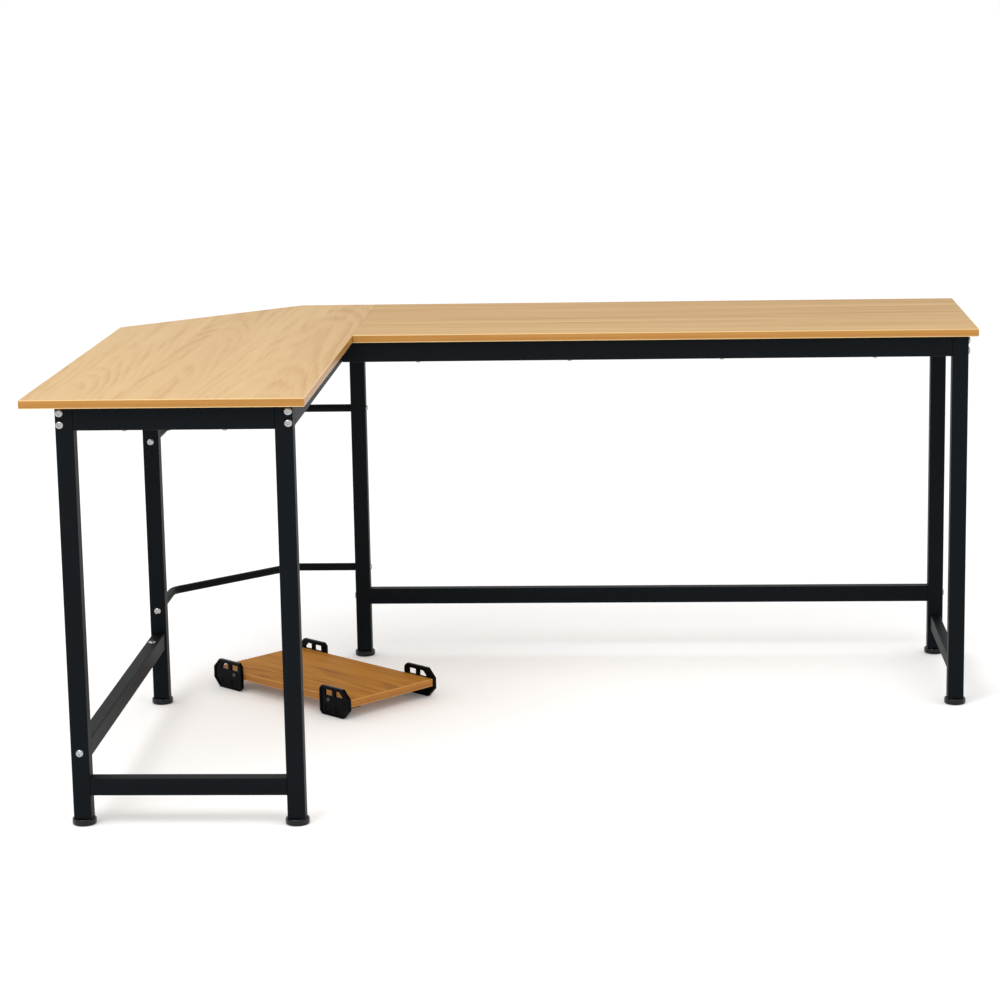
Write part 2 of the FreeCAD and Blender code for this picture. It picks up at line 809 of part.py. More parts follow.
def make_seam():
    plates = []
    for share in SEAM_SHARES:
        plate = doc.addObject("Part::Box", "seam_plate")
        bind(plate, "Length", "seam_plate_width")
        bind(plate, "Width", "seam_plate_length")
        bind(plate, "Height", "seam_plate_thickness")
        low_x = "seam_middle - seam_plate_width / 2"
        low_y = f"{seam_plate_middle(share)} - seam_plate_length / 2"
        place(plate, low_x, low_y, "board_base - seam_plate_thickness")
        plates.append(plate)
    spots = seam_screw_spots("return") + seam_screw_spots("main")
    holes = []
    for x, y in spots:
        hole = cylinder("screw_hole", "seam_plate_thickness + 2 * drill_margin")
        place(hole, x, y, "board_base - seam_plate_thickness - drill_margin")
        holes.append(hole)
    drills = doc.addObject("Part::Compound", "seam_holes")
    drills.Links = holes
    solid = doc.addObject("Part::Compound", "seam_blanks")
    solid.Links = plates
    cut = doc.addObject("Part::Cut", "seam_plates")
    cut.Base = solid
    cut.Tool = drills
    keep(cut, "seam_plates")
    level = "board_base - seam_plate_thickness"
    group("seam_screws", [pan_screw((x, y, level), HEADINGS["+Z"], "seam_screw_bite") for x, y in spots])


# ---- plugs and feet ----

def make_top_plugs():
    plugs = []
    for x, y in LEGS.values():
        flange = doc.addObject("Part::Box", "plug_flange")
        for side in ("Length", "Width"):
            bind(flange, side, "leg_size")
        bind(flange, "Height", "plug_flange")
        place(flange, x, y, "board_base - plug_flange")
        stem = doc.addObject("Part::Box", "plug_stem")
        for side in ("Length", "Width"):
            bind(stem, side, "tube_inside - 2 * press_gap")
        bind(stem, "Height", "plug_depth")
        shift = "tube_wall + press_gap"
        place(stem, f"{x} + {shift}", f"{y} + {shift}", "board_base - plug_flange - plug_depth")
        plug = doc.addObject("Part::Fuse", "leg_top_plug")
        plug.Base = flange
        plug.Tool = stem
        plugs.append(plug)
    group("leg_top_plugs", plugs)


def make_foot_plug(label, x, y):
    """The plug in a leg's lower end, with the thread for the levelling foot down its middle."""
    body = doc.addObject("PartDesign::Body", label)
    flange = new_sketch(body, "XY_Plane")
    add_loop(flange, rectangle("0", "0", "leg_size", "leg_size"))
    pad(body, flange, "plug_flange")
    stem = new_sketch(body, "XY_Plane")
    near = "tube_wall + press_gap"
    far = "leg_size - tube_wall - press_gap"
    add_loop(stem, rectangle(near, near, far, far))
    pad(body, stem, "plug_flange + foot_plug_depth")
    drill_through(body, "XY_Plane", [(HALF_LEG, HALF_LEG, "stud_diameter + 2 * running_gap")])
    place(body, x, y, "pad_height")
    keep(body, label)


def make_foot_stud(label, x, y):
    stud = cylinder("stud_diameter", "stud_length")
    place(stud, f"{x} + {HALF_LEG}", f"{y} + {HALF_LEG}", "pad_floor")
    keep(stud, label)


def make_foot_pad(label, x, y):
    """A round pad, turned about the stud that it is held by."""
    body = doc.addObject("PartDesign::Body", label)
    sketch = new_sketch(body, "XZ_Plane")
    add_loop(sketch, [
        ("0", "0"),
        ("pad_diameter / 2 - pad_chamfer / 2", "0"),
        ("pad_diameter / 2", "pad_chamfer / 2"),
        ("pad_diameter / 2", "pad_height - pad_chamfer"),
        ("pad_diameter / 2 - pad_chamfer", "pad_height"),
        ("stud_diameter / 2 + running_gap", "pad_height"),
        ("stud_diameter / 2 + running_gap", "pad_floor"),
        ("0", "pad_floor"),
    ])
    turned = body.newObject("PartDesign::Revolution", label + "_turned")
    turned.Profile = sketch
    turned.ReferenceAxis = (sketch, ["V_Axis"])
    turned.Angle = 360
    doc.recompute()
    place(body, f"{x} + {HALF_LEG}", f"{y} + {HALF_LEG}", "0")
    keep(body, label)


def make_feet():
    for leg, (x, y) in LEGS.items():
        name = leg.replace("_leg", "")
        make_foot_plug(name + "_foot_plug", x, y)
        make_foot_stud(name + "_foot_stud", x, y)
        make_foot_pad(name + "_foot_pad", x, y)


# ---- the stand ----

def on_stand(x, y):
    """Desk x and y of a place on the stand, whose own x runs along its board."""
    return (f"stand_x + ({x}) * cos(stand_turn) - ({y}) * sin(stand_turn)",
            f"stand_y + ({x}) * sin(stand_turn) + ({y}) * cos(stand_turn)")


def turned(thing, x, y, z, extra=0):
    """Put a piece on the stand and turn it with the stand."""
    angle = number("stand_turn") + extra
    place(thing, *on_stand(x, y), z, FreeCAD.Rotation(FreeCAD.Vector(0, 0, 1), angle))
    bind(thing, "Placement.Rotation.Angle", f"stand_turn + {extra}")


# The four brackets: which end, which long side, the half turn that faces it outwards, and its hand.
BRACKETS = [("", "-", 0, ""), ("-", "-", 0, "-"), ("", "", 180, "-"), ("-", "", 180, "")]


def make_stand_board():
    board_body = doc.addObject("PartDesign::Body", "stand_board_blank")
    sketch = new_sketch(board_body, "XY_Plane")
    add_loop(sketch, rectangle("band_thickness", "band_thickness", "stand_length - band_thickness",
                               "stand_width - band_thickness"))
    pad(board_body, sketch, "board_thickness")
    turned(board_body, "-stand_length / 2", "-stand_width / 2", "board_under_stand")
    band = doc.addObject("PartDesign::Body", "stand_band_blank")
    ring = new_sketch(band, "XY_Plane")
    add_loop(ring, rectangle("0", "0", "stand_length", "stand_width"))
    add_loop(ring, rectangle("band_thickness", "band_thickness", "stand_length - band_thickness",
                             "stand_width - band_thickness"))
    pad(band, ring, "board_thickness")
    turned(band, "-stand_length / 2", "-stand_width / 2", "board_under_stand")
    screws = cut_tool([screw_blank(at, angle) for at, angle in side_screw_spots()]
                      + [flange_screw(x, y) for x, y in bottom_screw_spots()], "stand_screw_holes")
    for body, label in ((board_body, "stand_board"), (band, "stand_edge_band")):
        cut = doc.addObject("Part::Cut", label + "_bored")
        cut.Base = body
        cut.Tool = screws
        keep(cut, label)


def cut_tool(items, name):
    compound = doc.addObject("Part::Compound", name)
    compound.Links = items
    return compound


def side_screw_spots():
    """Each bracket's side screw as the place of its head on the bracket's face, and its turn."""
    spots = []
    for end, side, extra, _ in BRACKETS:
        spots.append(((f"{end}(bracket_inner + side_screw_shift)", f"{side}(bracket_face)",
                       "side_screw_level"), extra))
    return spots


def bottom_screw_spots():
    spots = []
    for end, side, _, _ in BRACKETS:
        for step in ("-", "+"):
            x = f"{end}(bracket_inner + bracket_length / 2 {step} stand_screw_spacing / 2)"
            spots.append((x, f"{side}(stand_width / 2 - flange_width / 2)"))
    return spots


def aim(extra):
    """Turn a screw's own +Z to point from a bracket's face into the board."""
    flat = FreeCAD.Rotation(FreeCAD.Vector(0, 0, 1), number("stand_turn") + extra)
    return flat.multiply(HEADINGS["+Y"])


def screw_blank(at, extra):
    x, y, z = at
    blank = cylinder("screw_diameter", "bracket_wall + stand_screw_length")
    place(blank, *on_stand(x, y), z, aim(extra))
    return blank


def flange_screw(x, y):
    blank = cylinder("screw_diameter", "stand_screw_length")
    place(blank, *on_stand(x, y), "board_under_stand - flange_thickness")
    return blank


def handed(hand, points):
    """Mirror an outline for the other hand of a piece."""
    return [(f"{hand}({x})", z) for x, z in points]


def make_bracket(label, end, side, extra, hand):
    """A bracket: a plate with its corners cut, a rim, two windows, two recesses and a flange under the board."""
    body = doc.addObject("PartDesign::Body", label)
    plate = new_sketch(body, "XZ_Plane")
    add_loop(plate, handed(hand, bracket_outline("0")))
    add_loop(plate, handed(hand, rectangle("window_start", "window_base", "window_start + window_width",
                                           "window_top")))
    add_loop(plate, handed(hand, [
        ("second_window", "window_base"),
        ("window_end", "window_base"),
        ("window_end", "window_top - window_clip"),
        ("window_end - window_clip", "window_top"),
        ("second_window", "window_top"),
    ]))
    pad(body, plate, "bracket_wall", reverse=True)
    rim = new_sketch(body, "XZ_Plane")
    add_loop(rim, handed(hand, bracket_outline("0")))
    add_loop(rim, handed(hand, bracket_outline("bracket_rim")))
    pad(body, rim, "bracket_rim_depth")
    hollows = new_sketch(body, "XZ_Plane")
    add_loop(hollows, handed(hand, rectangle("window_start", "recess_level", "window_start + window_width",
                                             "recess_top")))
    add_loop(hollows, handed(hand, [
        ("second_window", "recess_level"),
        ("window_end - window_clip", "recess_level"),
        ("window_end", "recess_level + window_clip"),
        ("window_end", "recess_top"),
        ("second_window", "recess_top"),
    ]))
    sink(body, hollows, "recess_depth")
    flange = new_sketch(body, "XY_Plane", "board_under_stand - flange_thickness")
    add_loop(flange, handed(hand, rectangle("inner_chamfer", "0", "bracket_length - inner_chamfer",
                                            "bracket_wall + flange_width")))
    pad(body, flange, "flange_thickness")
    drill_through(body, "XZ_Plane", handed_hole(hand, "side_screw_shift", "side_screw_level"))
    for step in ("-", "+"):
        along = f"bracket_length / 2 {step} stand_screw_spacing / 2"
        drill_through(body, "XY_Plane", handed_hole(hand, along, "bracket_wall + flange_width / 2"))
    turned(body, f"{end}(bracket_inner)", f"{side}(bracket_face)", "0", extra)
    keep(body, label)


def handed_hole(hand, x, z):
    return [(f"{hand}({x})", z, "screw_hole")]


def bracket_outline(gap):
    """The bracket's outline from its inner end, moved in by a gap: small cuts inside, large ones outside."""
    turn = f"{gap} * tan(22.5)"
    return [
        (f"inner_chamfer + {turn}", gap),
        (f"bracket_length - outer_chamfer - {turn}", gap),
        (f"bracket_length - {gap}", f"outer_chamfer + {turn}"),
        (f"bracket_length - {gap}", f"bracket_height - outer_chamfer - {turn}"),
        (f"bracket_length - outer_chamfer - {turn}", f"bracket_height - {gap}"),
        (f"inner_chamfer + {turn}", f"bracket_height - {gap}"),
        (gap, f"bracket_height - inner_chamfer - {turn}"),
        (gap, f"inner_chamfer + {turn}"),
    ]


def make_stand():
    make_stand_board()
    for index, (end, side, extra, hand) in enumerate(BRACKETS, start=1):
        make_bracket(f"stand_bracket_{index}", end, side, extra, hand)
    side_screws = []
    for (x, y, z), extra in side_screw_spots():
        side_screws.append(pan_screw((*on_stand(x, y), z), aim(extra), "bracket_wall + stand_screw_length"))
    group("stand_side_screws", side_screws)
    flange_base = "board_under_stand - flange_thickness"
    bottom = [pan_screw((*on_stand(x, y), flange_base), HEADINGS["+Z"], "stand_screw_length")
              for x, y in bottom_screw_spots()]
    group("stand_bottom_screws", bottom)


# ---- checks and files ----

def check_all():
    for item in doc.Objects:
        if "Invalid" in item.State or "Error" in item.State:
            raise RuntimeError(f"{item.Label} failed: {item.State}")
    for piece in pieces:
        if piece.Shape.isNull() or not piece.Shape.isValid():
            raise RuntimeError(f"{piece.Label} has no valid shape")


def write_all():
    os.makedirs("parts", exist_ok=True)
    for piece in pieces:
        piece.Shape.exportStep(f"parts/{piece.Label}.step")


def main():
    fill_sheet()
    board("return_top", return_outline(), "left", "front",
          rail_screw_spots("return") + seam_screw_spots("return"))
    edge_band("return_edge_band", return_band_outline(), "left", "front")
    board("main_top", main_outline(), "main_left", "main_front",
          rail_screw_spots("main") + seam_screw_spots("main"))
    edge_band("main_edge_band", main_band_outline(), "main_left", "main_front")
    make_rails()
    make_legs()
    make_low_rails()
    make_brace("lower_corner_brace", "brace_low_level")
    make_brace("upper_corner_brace", "brace_high_level")
    make_bolts()
    make_end_plates()
    make_brace_inserts()
    make_top_screws()
    make_seam()
    make_top_plugs()
    make_feet()
    make_stand()
    doc.recompute()
    check_all()
    write_all()


main()
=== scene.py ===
# %% [markdown]
# # A corner desk, dressed around its CAD frame
# The desk is two laminate boards on a frame of black square tube, with a small
# loose stand below for a computer case. Its exact shape comes packed from CAD.
# Everything here is added around that frame: rounded edges, threads, wood
# grain and paint. Both programs share one frame in metres, so a piece that is
# made where the CAD says needs no fitting afterwards.

import json
import math

import bmesh
import bpy
import numpy as np
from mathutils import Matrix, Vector


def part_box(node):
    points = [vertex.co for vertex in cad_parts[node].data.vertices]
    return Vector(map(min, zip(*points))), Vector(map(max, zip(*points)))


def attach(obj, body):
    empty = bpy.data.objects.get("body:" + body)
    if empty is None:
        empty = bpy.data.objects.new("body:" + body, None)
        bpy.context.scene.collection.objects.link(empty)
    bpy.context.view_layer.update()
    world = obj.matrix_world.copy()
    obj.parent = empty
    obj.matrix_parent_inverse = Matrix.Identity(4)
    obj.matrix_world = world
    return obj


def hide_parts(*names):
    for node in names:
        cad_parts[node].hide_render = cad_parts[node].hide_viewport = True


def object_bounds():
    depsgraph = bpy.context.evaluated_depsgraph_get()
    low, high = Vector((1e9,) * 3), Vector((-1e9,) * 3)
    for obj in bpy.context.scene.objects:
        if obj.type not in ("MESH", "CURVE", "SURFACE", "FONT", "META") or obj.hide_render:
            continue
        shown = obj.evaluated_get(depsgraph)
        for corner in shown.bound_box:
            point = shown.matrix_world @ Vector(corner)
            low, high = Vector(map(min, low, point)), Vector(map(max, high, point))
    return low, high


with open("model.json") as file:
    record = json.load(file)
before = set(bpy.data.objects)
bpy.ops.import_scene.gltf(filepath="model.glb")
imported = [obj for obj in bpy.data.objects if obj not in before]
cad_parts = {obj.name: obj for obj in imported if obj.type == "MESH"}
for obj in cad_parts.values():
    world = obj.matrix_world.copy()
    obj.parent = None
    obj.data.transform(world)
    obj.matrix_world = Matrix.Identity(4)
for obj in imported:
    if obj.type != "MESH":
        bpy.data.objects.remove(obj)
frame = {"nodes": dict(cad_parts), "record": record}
cad_box = [list(corner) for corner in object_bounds()]

MM = 0.001
nodes = frame["nodes"]
record = frame["record"]
body_of = {
    node: body
    for body, members in record["behaviour"]["bodies"].items()
    for node in members
}
slot_of = {part["node"]: part["material_slot"] for part in record["subparts"]}

# %% [markdown]
# ## Wiring nodes in a script
# Materials and Geometry Nodes are both node trees. Placing every node by hand
# makes long scripts, so small helpers place the usual ones: `wire` joins a
# socket or sets its value, `calc` and `span` do arithmetic, `join` and `split`
# make and take apart vectors, `noise` and `blend_colours` give patterns and
# colours, and `new_group` opens a group with named inputs and outputs.

# %% Node helpers


def wire(tree, socket, source):
    """Links a socket to another one, or sets its own value."""
    if isinstance(source, bpy.types.NodeSocket):
        tree.links.new(source, socket)
    else:
        socket.default_value = source


def calc(tree, operation, *values):
    """A Math node's result."""
    node = tree.nodes.new("ShaderNodeMath")
    node.operation = operation
    for socket, value in zip(node.inputs, values):
        wire(tree, socket, value)
    return node.outputs[0]


def span(tree, value, low, high, new_low=0.0, new_high=1.0):
    """A value moved from one range to another, and held there."""
    node = tree.nodes.new("ShaderNodeMapRange")
    for socket, source in zip(node.inputs, (value, low, high, new_low, new_high)):
        wire(tree, socket, source)
    return node.outputs[0]


def join(tree, x, y, z):
    """A vector from three values."""
    node = tree.nodes.new("ShaderNodeCombineXYZ")
    for socket, value in zip(node.inputs, (x, y, z)):
        wire(tree, socket, value)
    return node.outputs[0]


def split(tree, vector):
    """A vector's three values."""
    node = tree.nodes.new("ShaderNodeSeparateXYZ")
    wire(tree, node.inputs[0], vector)
    return node.outputs


def noise(tree, vector, scale=1.0, detail=2.0, roughness=0.5):
    """Soft random values from 0 to 1."""
    node = tree.nodes.new("ShaderNodeTexNoise")
    wire(tree, node.inputs["Vector"], vector)
    wire(tree, node.inputs["Scale"], scale)
    wire(tree, node.inputs["Detail"], detail)
    wire(tree, node.inputs["Roughness"], roughness)
    return node.outputs["Fac"]


def blend_colours(tree, share, first, second):
    """The first colour where share is 0 and the second where it is 1."""
    node = tree.nodes.new("ShaderNodeMix")
    node.data_type = "RGBA"
    wire(tree, node.inputs["Factor"], share)
    wire(tree, node.inputs[6], first)
    wire(tree, node.inputs[7], second)
    return node.outputs[2]


def new_group(name, kind, inputs, outputs):
    """A node group with named sockets: the tree, its inputs and its outputs."""
    tree = bpy.data.node_groups.new(name, kind)
    for label, socket_kind, value in inputs:
        socket = tree.interface.new_socket(
            label, in_out="INPUT", socket_type="NodeSocket" + socket_kind
        )
        if value is not None:
            socket.default_value = value
    for label, socket_kind in outputs:
        tree.interface.new_socket(
            label, in_out="OUTPUT", socket_type="NodeSocket" + socket_kind
        )
    given = tree.nodes.new("NodeGroupInput").outputs
    result = tree.nodes.new("NodeGroupOutput").inputs
    return tree, given, result


# %% [markdown]
# ## Wood figure, as one shared group
# The boards are chipboard under a printed beech pattern, and the stand has the
# same pattern in a honey stain. A print of sawn boards can be imitated by
# cutting an imaginary log: the rings are circles round a line that runs nearly
# along the board, and where the board's face crosses them at a slant they
# draw long arches. The group does this for each stave of the board in turn,
# then adds long soft streaks, hair-fine fibres and beech's short dark flecks.
# Its vector is in metres, with X along the grain, and each noise is drawn out
# along the grain by its own two scales.

# %% Wood figure group
wood, given, result = new_group(
    "wood figure",
    "ShaderNodeTree",
    [
        ("Vector", "Vector", None),
        ("Stave Width", "Float", 0.12),
        ("Ring Spacing", "Float", 0.012),
        ("Slant", "Float", 0.06),
        ("Figure", "Float", 0.5),
        ("Streak", "Float", 0.3),
        ("Fibre", "Float", 0.3),
        ("Light", "Color", (0.8, 0.6, 0.35, 1)),
        ("Dark", "Color", (0.6, 0.4, 0.2, 1)),
    ],
    [("Color", "Color"), ("Height", "Float")],
)
along, across, through = split(wood, given["Vector"])


def times(first, second):
    """A product in the wood group."""
    return calc(wood, "MULTIPLY", first, second)


def drawn_out(length, lengthwise, crosswise, layer, **settings):
    """Noise with its own scale along and across the grain, in cycles a metre."""
    spot = join(wood, times(length, lengthwise), times(across, crosswise), layer)
    return noise(wood, spot, **settings)


# %% Each stave takes its own place in the log
LOG_LENGTH = 3.0
RING_WANDER = 0.02
SLANT_SWAY = 1.6

stave = calc(wood, "FLOOR", calc(wood, "DIVIDE", across, given["Stave Width"]))
chance = wood.nodes.new("ShaderNodeTexWhiteNoise")
chance.noise_dimensions = "1D"
wire(wood, chance.inputs["W"], stave)
luck_a, luck_b, luck_c = split(wood, chance.outputs["Color"])
centre = times(calc(wood, "ADD", stave, luck_a), given["Stave Width"])
shifted = calc(wood, "ADD", along, times(luck_b, LOG_LENGTH))

wander = drawn_out(shifted, lengthwise=1.1, crosswise=9.0, layer=luck_c)
side = calc(wood, "SUBTRACT", across, centre)
side = calc(wood, "ADD", side, times(calc(wood, "SUBTRACT", wander, 0.5), RING_WANDER))
sway = noise(wood, join(wood, times(shifted, 1.3), luck_b, luck_a), detail=1.0)
depth = times(calc(wood, "ADD", shifted, times(sway, SLANT_SWAY)), given["Slant"])
reach = calc(wood, "SQRT", calc(wood, "ADD", times(side, side), times(depth, depth)))
print("staves and their logs:", len(wood.nodes), "nodes")

# %% Rings, streaks, fibres and flecks
RING_FEATHER = 1.3
LATE_WOOD_CURVE = 1.8
FLECK_TONE = 0.16
STAVE_TONE = 0.25
PATCH_TONE = 0.35
FLECK_DEPTH = 0.7

feather = drawn_out(shifted, lengthwise=5.0, crosswise=230.0, layer=7.0, detail=3.0)
rings = calc(wood, "DIVIDE", reach, given["Ring Spacing"])
ring = calc(wood, "FRACT", calc(wood, "ADD", rings, times(feather, RING_FEATHER)))
late = times(calc(wood, "POWER", ring, LATE_WOOD_CURVE), span(wood, ring, 1.0, 0.8))
patch = drawn_out(shifted, lengthwise=1.5, crosswise=26.0, layer=4.0)
arches = times(late, span(wood, patch, 0.40, 0.62, 0.1, 1.2))
streak = drawn_out(shifted, lengthwise=0.7, crosswise=75.0, layer=9.0, detail=3.0, roughness=0.6)
fibre = drawn_out(
    along, lengthwise=9.0, crosswise=620.0, layer=times(through, 620.0), detail=3.0, roughness=0.6
)
fleck = drawn_out(along, lengthwise=150.0, crosswise=1300.0, layer=2.0, detail=1.0)
fleck = span(wood, fleck, 0.68, 0.78)

tone = times(arches, given["Figure"])
for pattern, level, weight in (
    (fibre, 0.42, given["Fibre"]),
    (streak, 0.45, given["Streak"]),
    (fleck, 0.0, FLECK_TONE),
    (luck_c, 0.0, STAVE_TONE),
    (patch, 0.5, PATCH_TONE),
):
    tone = calc(wood, "ADD", tone, times(calc(wood, "SUBTRACT", pattern, level), weight))
tone = span(wood, tone, 0.0, 1.0)
wire(wood, result["Color"], blend_colours(wood, tone, given["Light"], given["Dark"]))
wire(wood, result["Height"], calc(wood, "SUBTRACT", fibre, times(fleck, FLECK_DEPTH)))
print("wood figure:", len(wood.nodes), "nodes")

# %% [markdown]
# ## Handling and pebble, two more shared groups
# No real surface shines evenly. "handled" gives any finish a slow cloudy change
# of roughness, with finer smears inside it. "pebble" is the tiny bumpiness
# that powder coat and moulded plastic share: the powder melts into a skin like
# orange peel, and the mould is etched to hide its own marks.

# %% Handled and pebble groups
handled, given, result = new_group(
    "handled",
    "ShaderNodeTree",
    [
        ("Vector", "Vector", None),
        ("Cloud Size", "Float", 0.15),
        ("Level", "Float", 0.4),
        ("Change", "Float", 0.1),
    ],
    [("Roughness", "Float"), ("Mask", "Float")],
)
scale = calc(handled, "DIVIDE", 1.0, given["Cloud Size"])
cloud = noise(handled, given["Vector"], scale, detail=4.0, roughness=0.55)
smear = noise(handled, given["Vector"], calc(handled, "MULTIPLY", scale, 7.0), detail=2.0)
cloud_part = calc(handled, "MULTIPLY", cloud, 0.7)
smear_part = calc(handled, "MULTIPLY", smear, 0.3)
mask = calc(handled, "ADD", cloud_part, smear_part)
full_change = calc(handled, "MULTIPLY", given["Change"], 2.0)
swing = calc(handled, "MULTIPLY", calc(handled, "SUBTRACT", mask, 0.5), full_change)
wire(handled, result["Roughness"], calc(handled, "ADD", given["Level"], swing))
wire(handled, result["Mask"], mask)

pebble, given, result = new_group(
    "pebble",
    "ShaderNodeTree",
    [("Vector", "Vector", None), ("Grain Size", "Float", 0.001)],
    [("Height", "Float")],
)
scale = calc(pebble, "DIVIDE", 1.0, given["Grain Size"])
wire(pebble, result["Height"], noise(pebble, given["Vector"], scale, detail=1.0))
print("handled:", len(handled.nodes), "nodes, pebble:", len(pebble.nodes), "nodes")

# %% [markdown]
# ## Opening a finish
# Each finish is one material. A colour or number that is the same all over is
# set straight on the Principled shader. Only what changes over the surface
# comes through a link. `use_group` places one of the shared groups with its
# own values, and `relief` turns a height into a small bump.

# %% Finish helpers


def new_finish(name, **shader_values):
    """A material with a Principled shader: material, tree, shader."""
    material = bpy.data.materials.new(name)
    material.use_nodes = True
    tree = material.node_tree
    shader = tree.nodes["Principled BSDF"]
    for label, value in shader_values.items():
        shader.inputs[label.replace("_", " ")].default_value = value
    return material, tree, shader


def place(tree, turn=0.0):
    """Object coordinates in metres, turned about Z so X follows a grain."""
    source = tree.nodes.new("ShaderNodeTexCoord").outputs["Object"]
    mapping = tree.nodes.new("ShaderNodeMapping")
    wire(tree, mapping.inputs["Vector"], source)
    mapping.inputs["Rotation"].default_value = (0, 0, math.radians(turn))
    return mapping.outputs["Vector"]


def use_group(tree, group, **values):
    """A placed group: its outputs, after its inputs are set or linked."""
    node = tree.nodes.new("ShaderNodeGroup")
    node.node_tree = group
    for label, value in values.items():
        wire(tree, node.inputs[label.replace("_", " ")], value)
    return node.outputs


def relief(tree, shader, height, depth, strength=1.0):
    """A bump of about that depth in metres."""
    node = tree.nodes.new("ShaderNodeBump")
    node.inputs["Strength"].default_value = strength
    node.inputs["Distance"].default_value = depth
    wire(tree, node.inputs["Height"], height)
    wire(tree, shader.inputs["Normal"], node.outputs["Normal"])


# %% [markdown]
# ## Laminate and edging
# The return board's pattern runs from front to back with bold arches. The long board's runs along
# it, in finer and straighter lines. The stand's is the same print in a deeper honey colour.
# Edging is a plastic strip glued round the boards, so its grain follows the edge: that piece
# carries its own UV map, measured in metres along the strip and up from its middle. Where the
# cutter scraped the strip's two long corners the plastic is paler. That paler colour is also a
# painted highlight, standing in for the shine along the rounded corners, and it draws a light
# line above and below the darker band.

# %% Wood finishes
BEECH = {"Light": (0.555, 0.376, 0.176, 1), "Dark": (0.42, 0.235, 0.088, 1)}
LONG_BEECH = {"Light": (0.55, 0.36, 0.152, 1), "Dark": (0.36, 0.187, 0.053, 1)}
HONEY = {"Light": (0.52, 0.225, 0.024, 1), "Dark": (0.25, 0.088, 0.008, 1)}


def laminate(name, colours, turn, specular, **figure):
    """A satin laminate whose grain lies at turn degrees from the X axis."""
    material, tree, shader = new_finish(name, IOR=1.5)
    shader.inputs["Specular IOR Level"].default_value = specular
    spot = place(tree, -turn)
    wood_out = use_group(tree, wood, Vector=spot, **colours, **figure)
    feel = use_group(tree, handled, Vector=spot, Cloud_Size=0.18, Level=0.52, Change=0.06)
    wire(tree, shader.inputs["Base Color"], wood_out["Color"])
    wire(tree, shader.inputs["Roughness"], feel["Roughness"])
    relief(tree, shader, wood_out["Height"], 0.05 * MM, 0.5)
    return material


# The paler colour starts this far above and below the strip's middle. It is scraped plastic and
# also a painted highlight for the rounded corners.
SCRAPED_AND_HIGHLIGHT_FROM = 5.8 * MM
SCRAPED_AND_HIGHLIGHT_BLEND = 0.4 * MM


def edging(name, light, dark, pale_and_highlight):
    """A strip whose grain follows its own UV map, with pale corners that are scraped plastic and
    a painted highlight.
    """
    material, tree, shader = new_finish(name, IOR=1.5)
    shader.inputs["Specular IOR Level"].default_value = 0.25
    uv = tree.nodes.new("ShaderNodeUVMap")
    uv.uv_map = "along_strip"
    wood_out = use_group(
        tree, wood, Vector=uv.outputs["UV"], Stave_Width=0.05, Ring_Spacing=0.006,
        Slant=0.01, Figure=0.35, Streak=0.5, Fibre=0.7, Light=light, Dark=dark,
    )
    spot = place(tree)
    feel = use_group(tree, handled, Vector=spot, Cloud_Size=0.1, Level=0.34, Change=0.05)
    # Pale corners: scraped plastic, and a painted highlight standing in for the shine on the
    # rounded corners.
    height = calc(tree, "ABSOLUTE", split(tree, uv.outputs["UV"])[1])
    scraped_and_highlight = span(tree, height, SCRAPED_AND_HIGHLIGHT_FROM, SCRAPED_AND_HIGHLIGHT_FROM + SCRAPED_AND_HIGHLIGHT_BLEND)
    tint = blend_colours(tree, scraped_and_highlight, wood_out["Color"], pale_and_highlight)
    wire(tree, shader.inputs["Base Color"], tint)
    wire(tree, shader.inputs["Roughness"], feel["Roughness"])
    relief(tree, shader, wood_out["Height"], 0.03 * MM, 0.2)
    return material


# The stand is set askew: its length lies along the line that it slides on.
stand_slide = next(
    joint for joint in record["behaviour"]["joints"] if joint["name"] == "stand_slide"
)
STAND_TURN = 180 + math.degrees(math.atan2(stand_slide["axis"][1], stand_slide["axis"][0]))

finish_of = {
    "return_top": laminate(
        "beech_laminate_return", BEECH, turn=90.0, specular=0.15, Stave_Width=0.112,
        Ring_Spacing=0.0105, Slant=0.036, Figure=0.7, Streak=0.5, Fibre=0.45,
    ),
    "main_top": laminate(
        "beech_laminate_main", LONG_BEECH, turn=0.0, specular=0.15, Stave_Width=0.20,
        Ring_Spacing=0.017, Slant=0.004, Figure=0.5, Streak=2.3, Fibre=0.4,
    ),
    "stand_board": laminate(
        "honey_laminate", HONEY, turn=STAND_TURN, specular=0.04, Stave_Width=0.07,
        Ring_Spacing=0.009, Slant=0.03, Figure=0.8, Streak=0.5, Fibre=0.5,
    ),
    "return_edge_band": edging(
        "beech_edging",
        light=(0.44, 0.212, 0.046, 1),
        dark=(0.26, 0.105, 0.018, 1),
        # The pale colour is scraped plastic and also a painted highlight along the corners.
        pale_and_highlight=(0.66, 0.45, 0.21, 1),
    ),
    "stand_edge_band": edging(
        "honey_edging",
        light=(0.46, 0.185, 0.028, 1),
        dark=(0.21, 0.07, 0.012, 1),
        # The pale colour is scraped plastic and also a painted highlight along the corners.
        pale_and_highlight=(0.56, 0.26, 0.05, 1),
    ),
}
finish_of["main_edge_band"] = finish_of["return_edge_band"]
print("wood finishes:", sorted({material.name for material in finish_of.values()}))

# %% [markdown]
# ## Paint, plastic and metal
# Powder coat on the tube is nearly black with a cool tint, semi-matt, and a
# little rougher where hands and packing rubbed it. The plastic of the plugs
# and the stand's corners is blacker and shinier on its bevels, and the glides
# under the feet are the glossiest. Bolts and screws are zinc plated, which has
# a faint yellow and blue bloom, but for the stand's blackened side screws. The
# plates inside the tubes are plain rolled steel with fine lines along them.

# %% Metal and plastic finishes
RUBBED_LIGHTER = 1.7
RUBBED_SHARE = 0.6


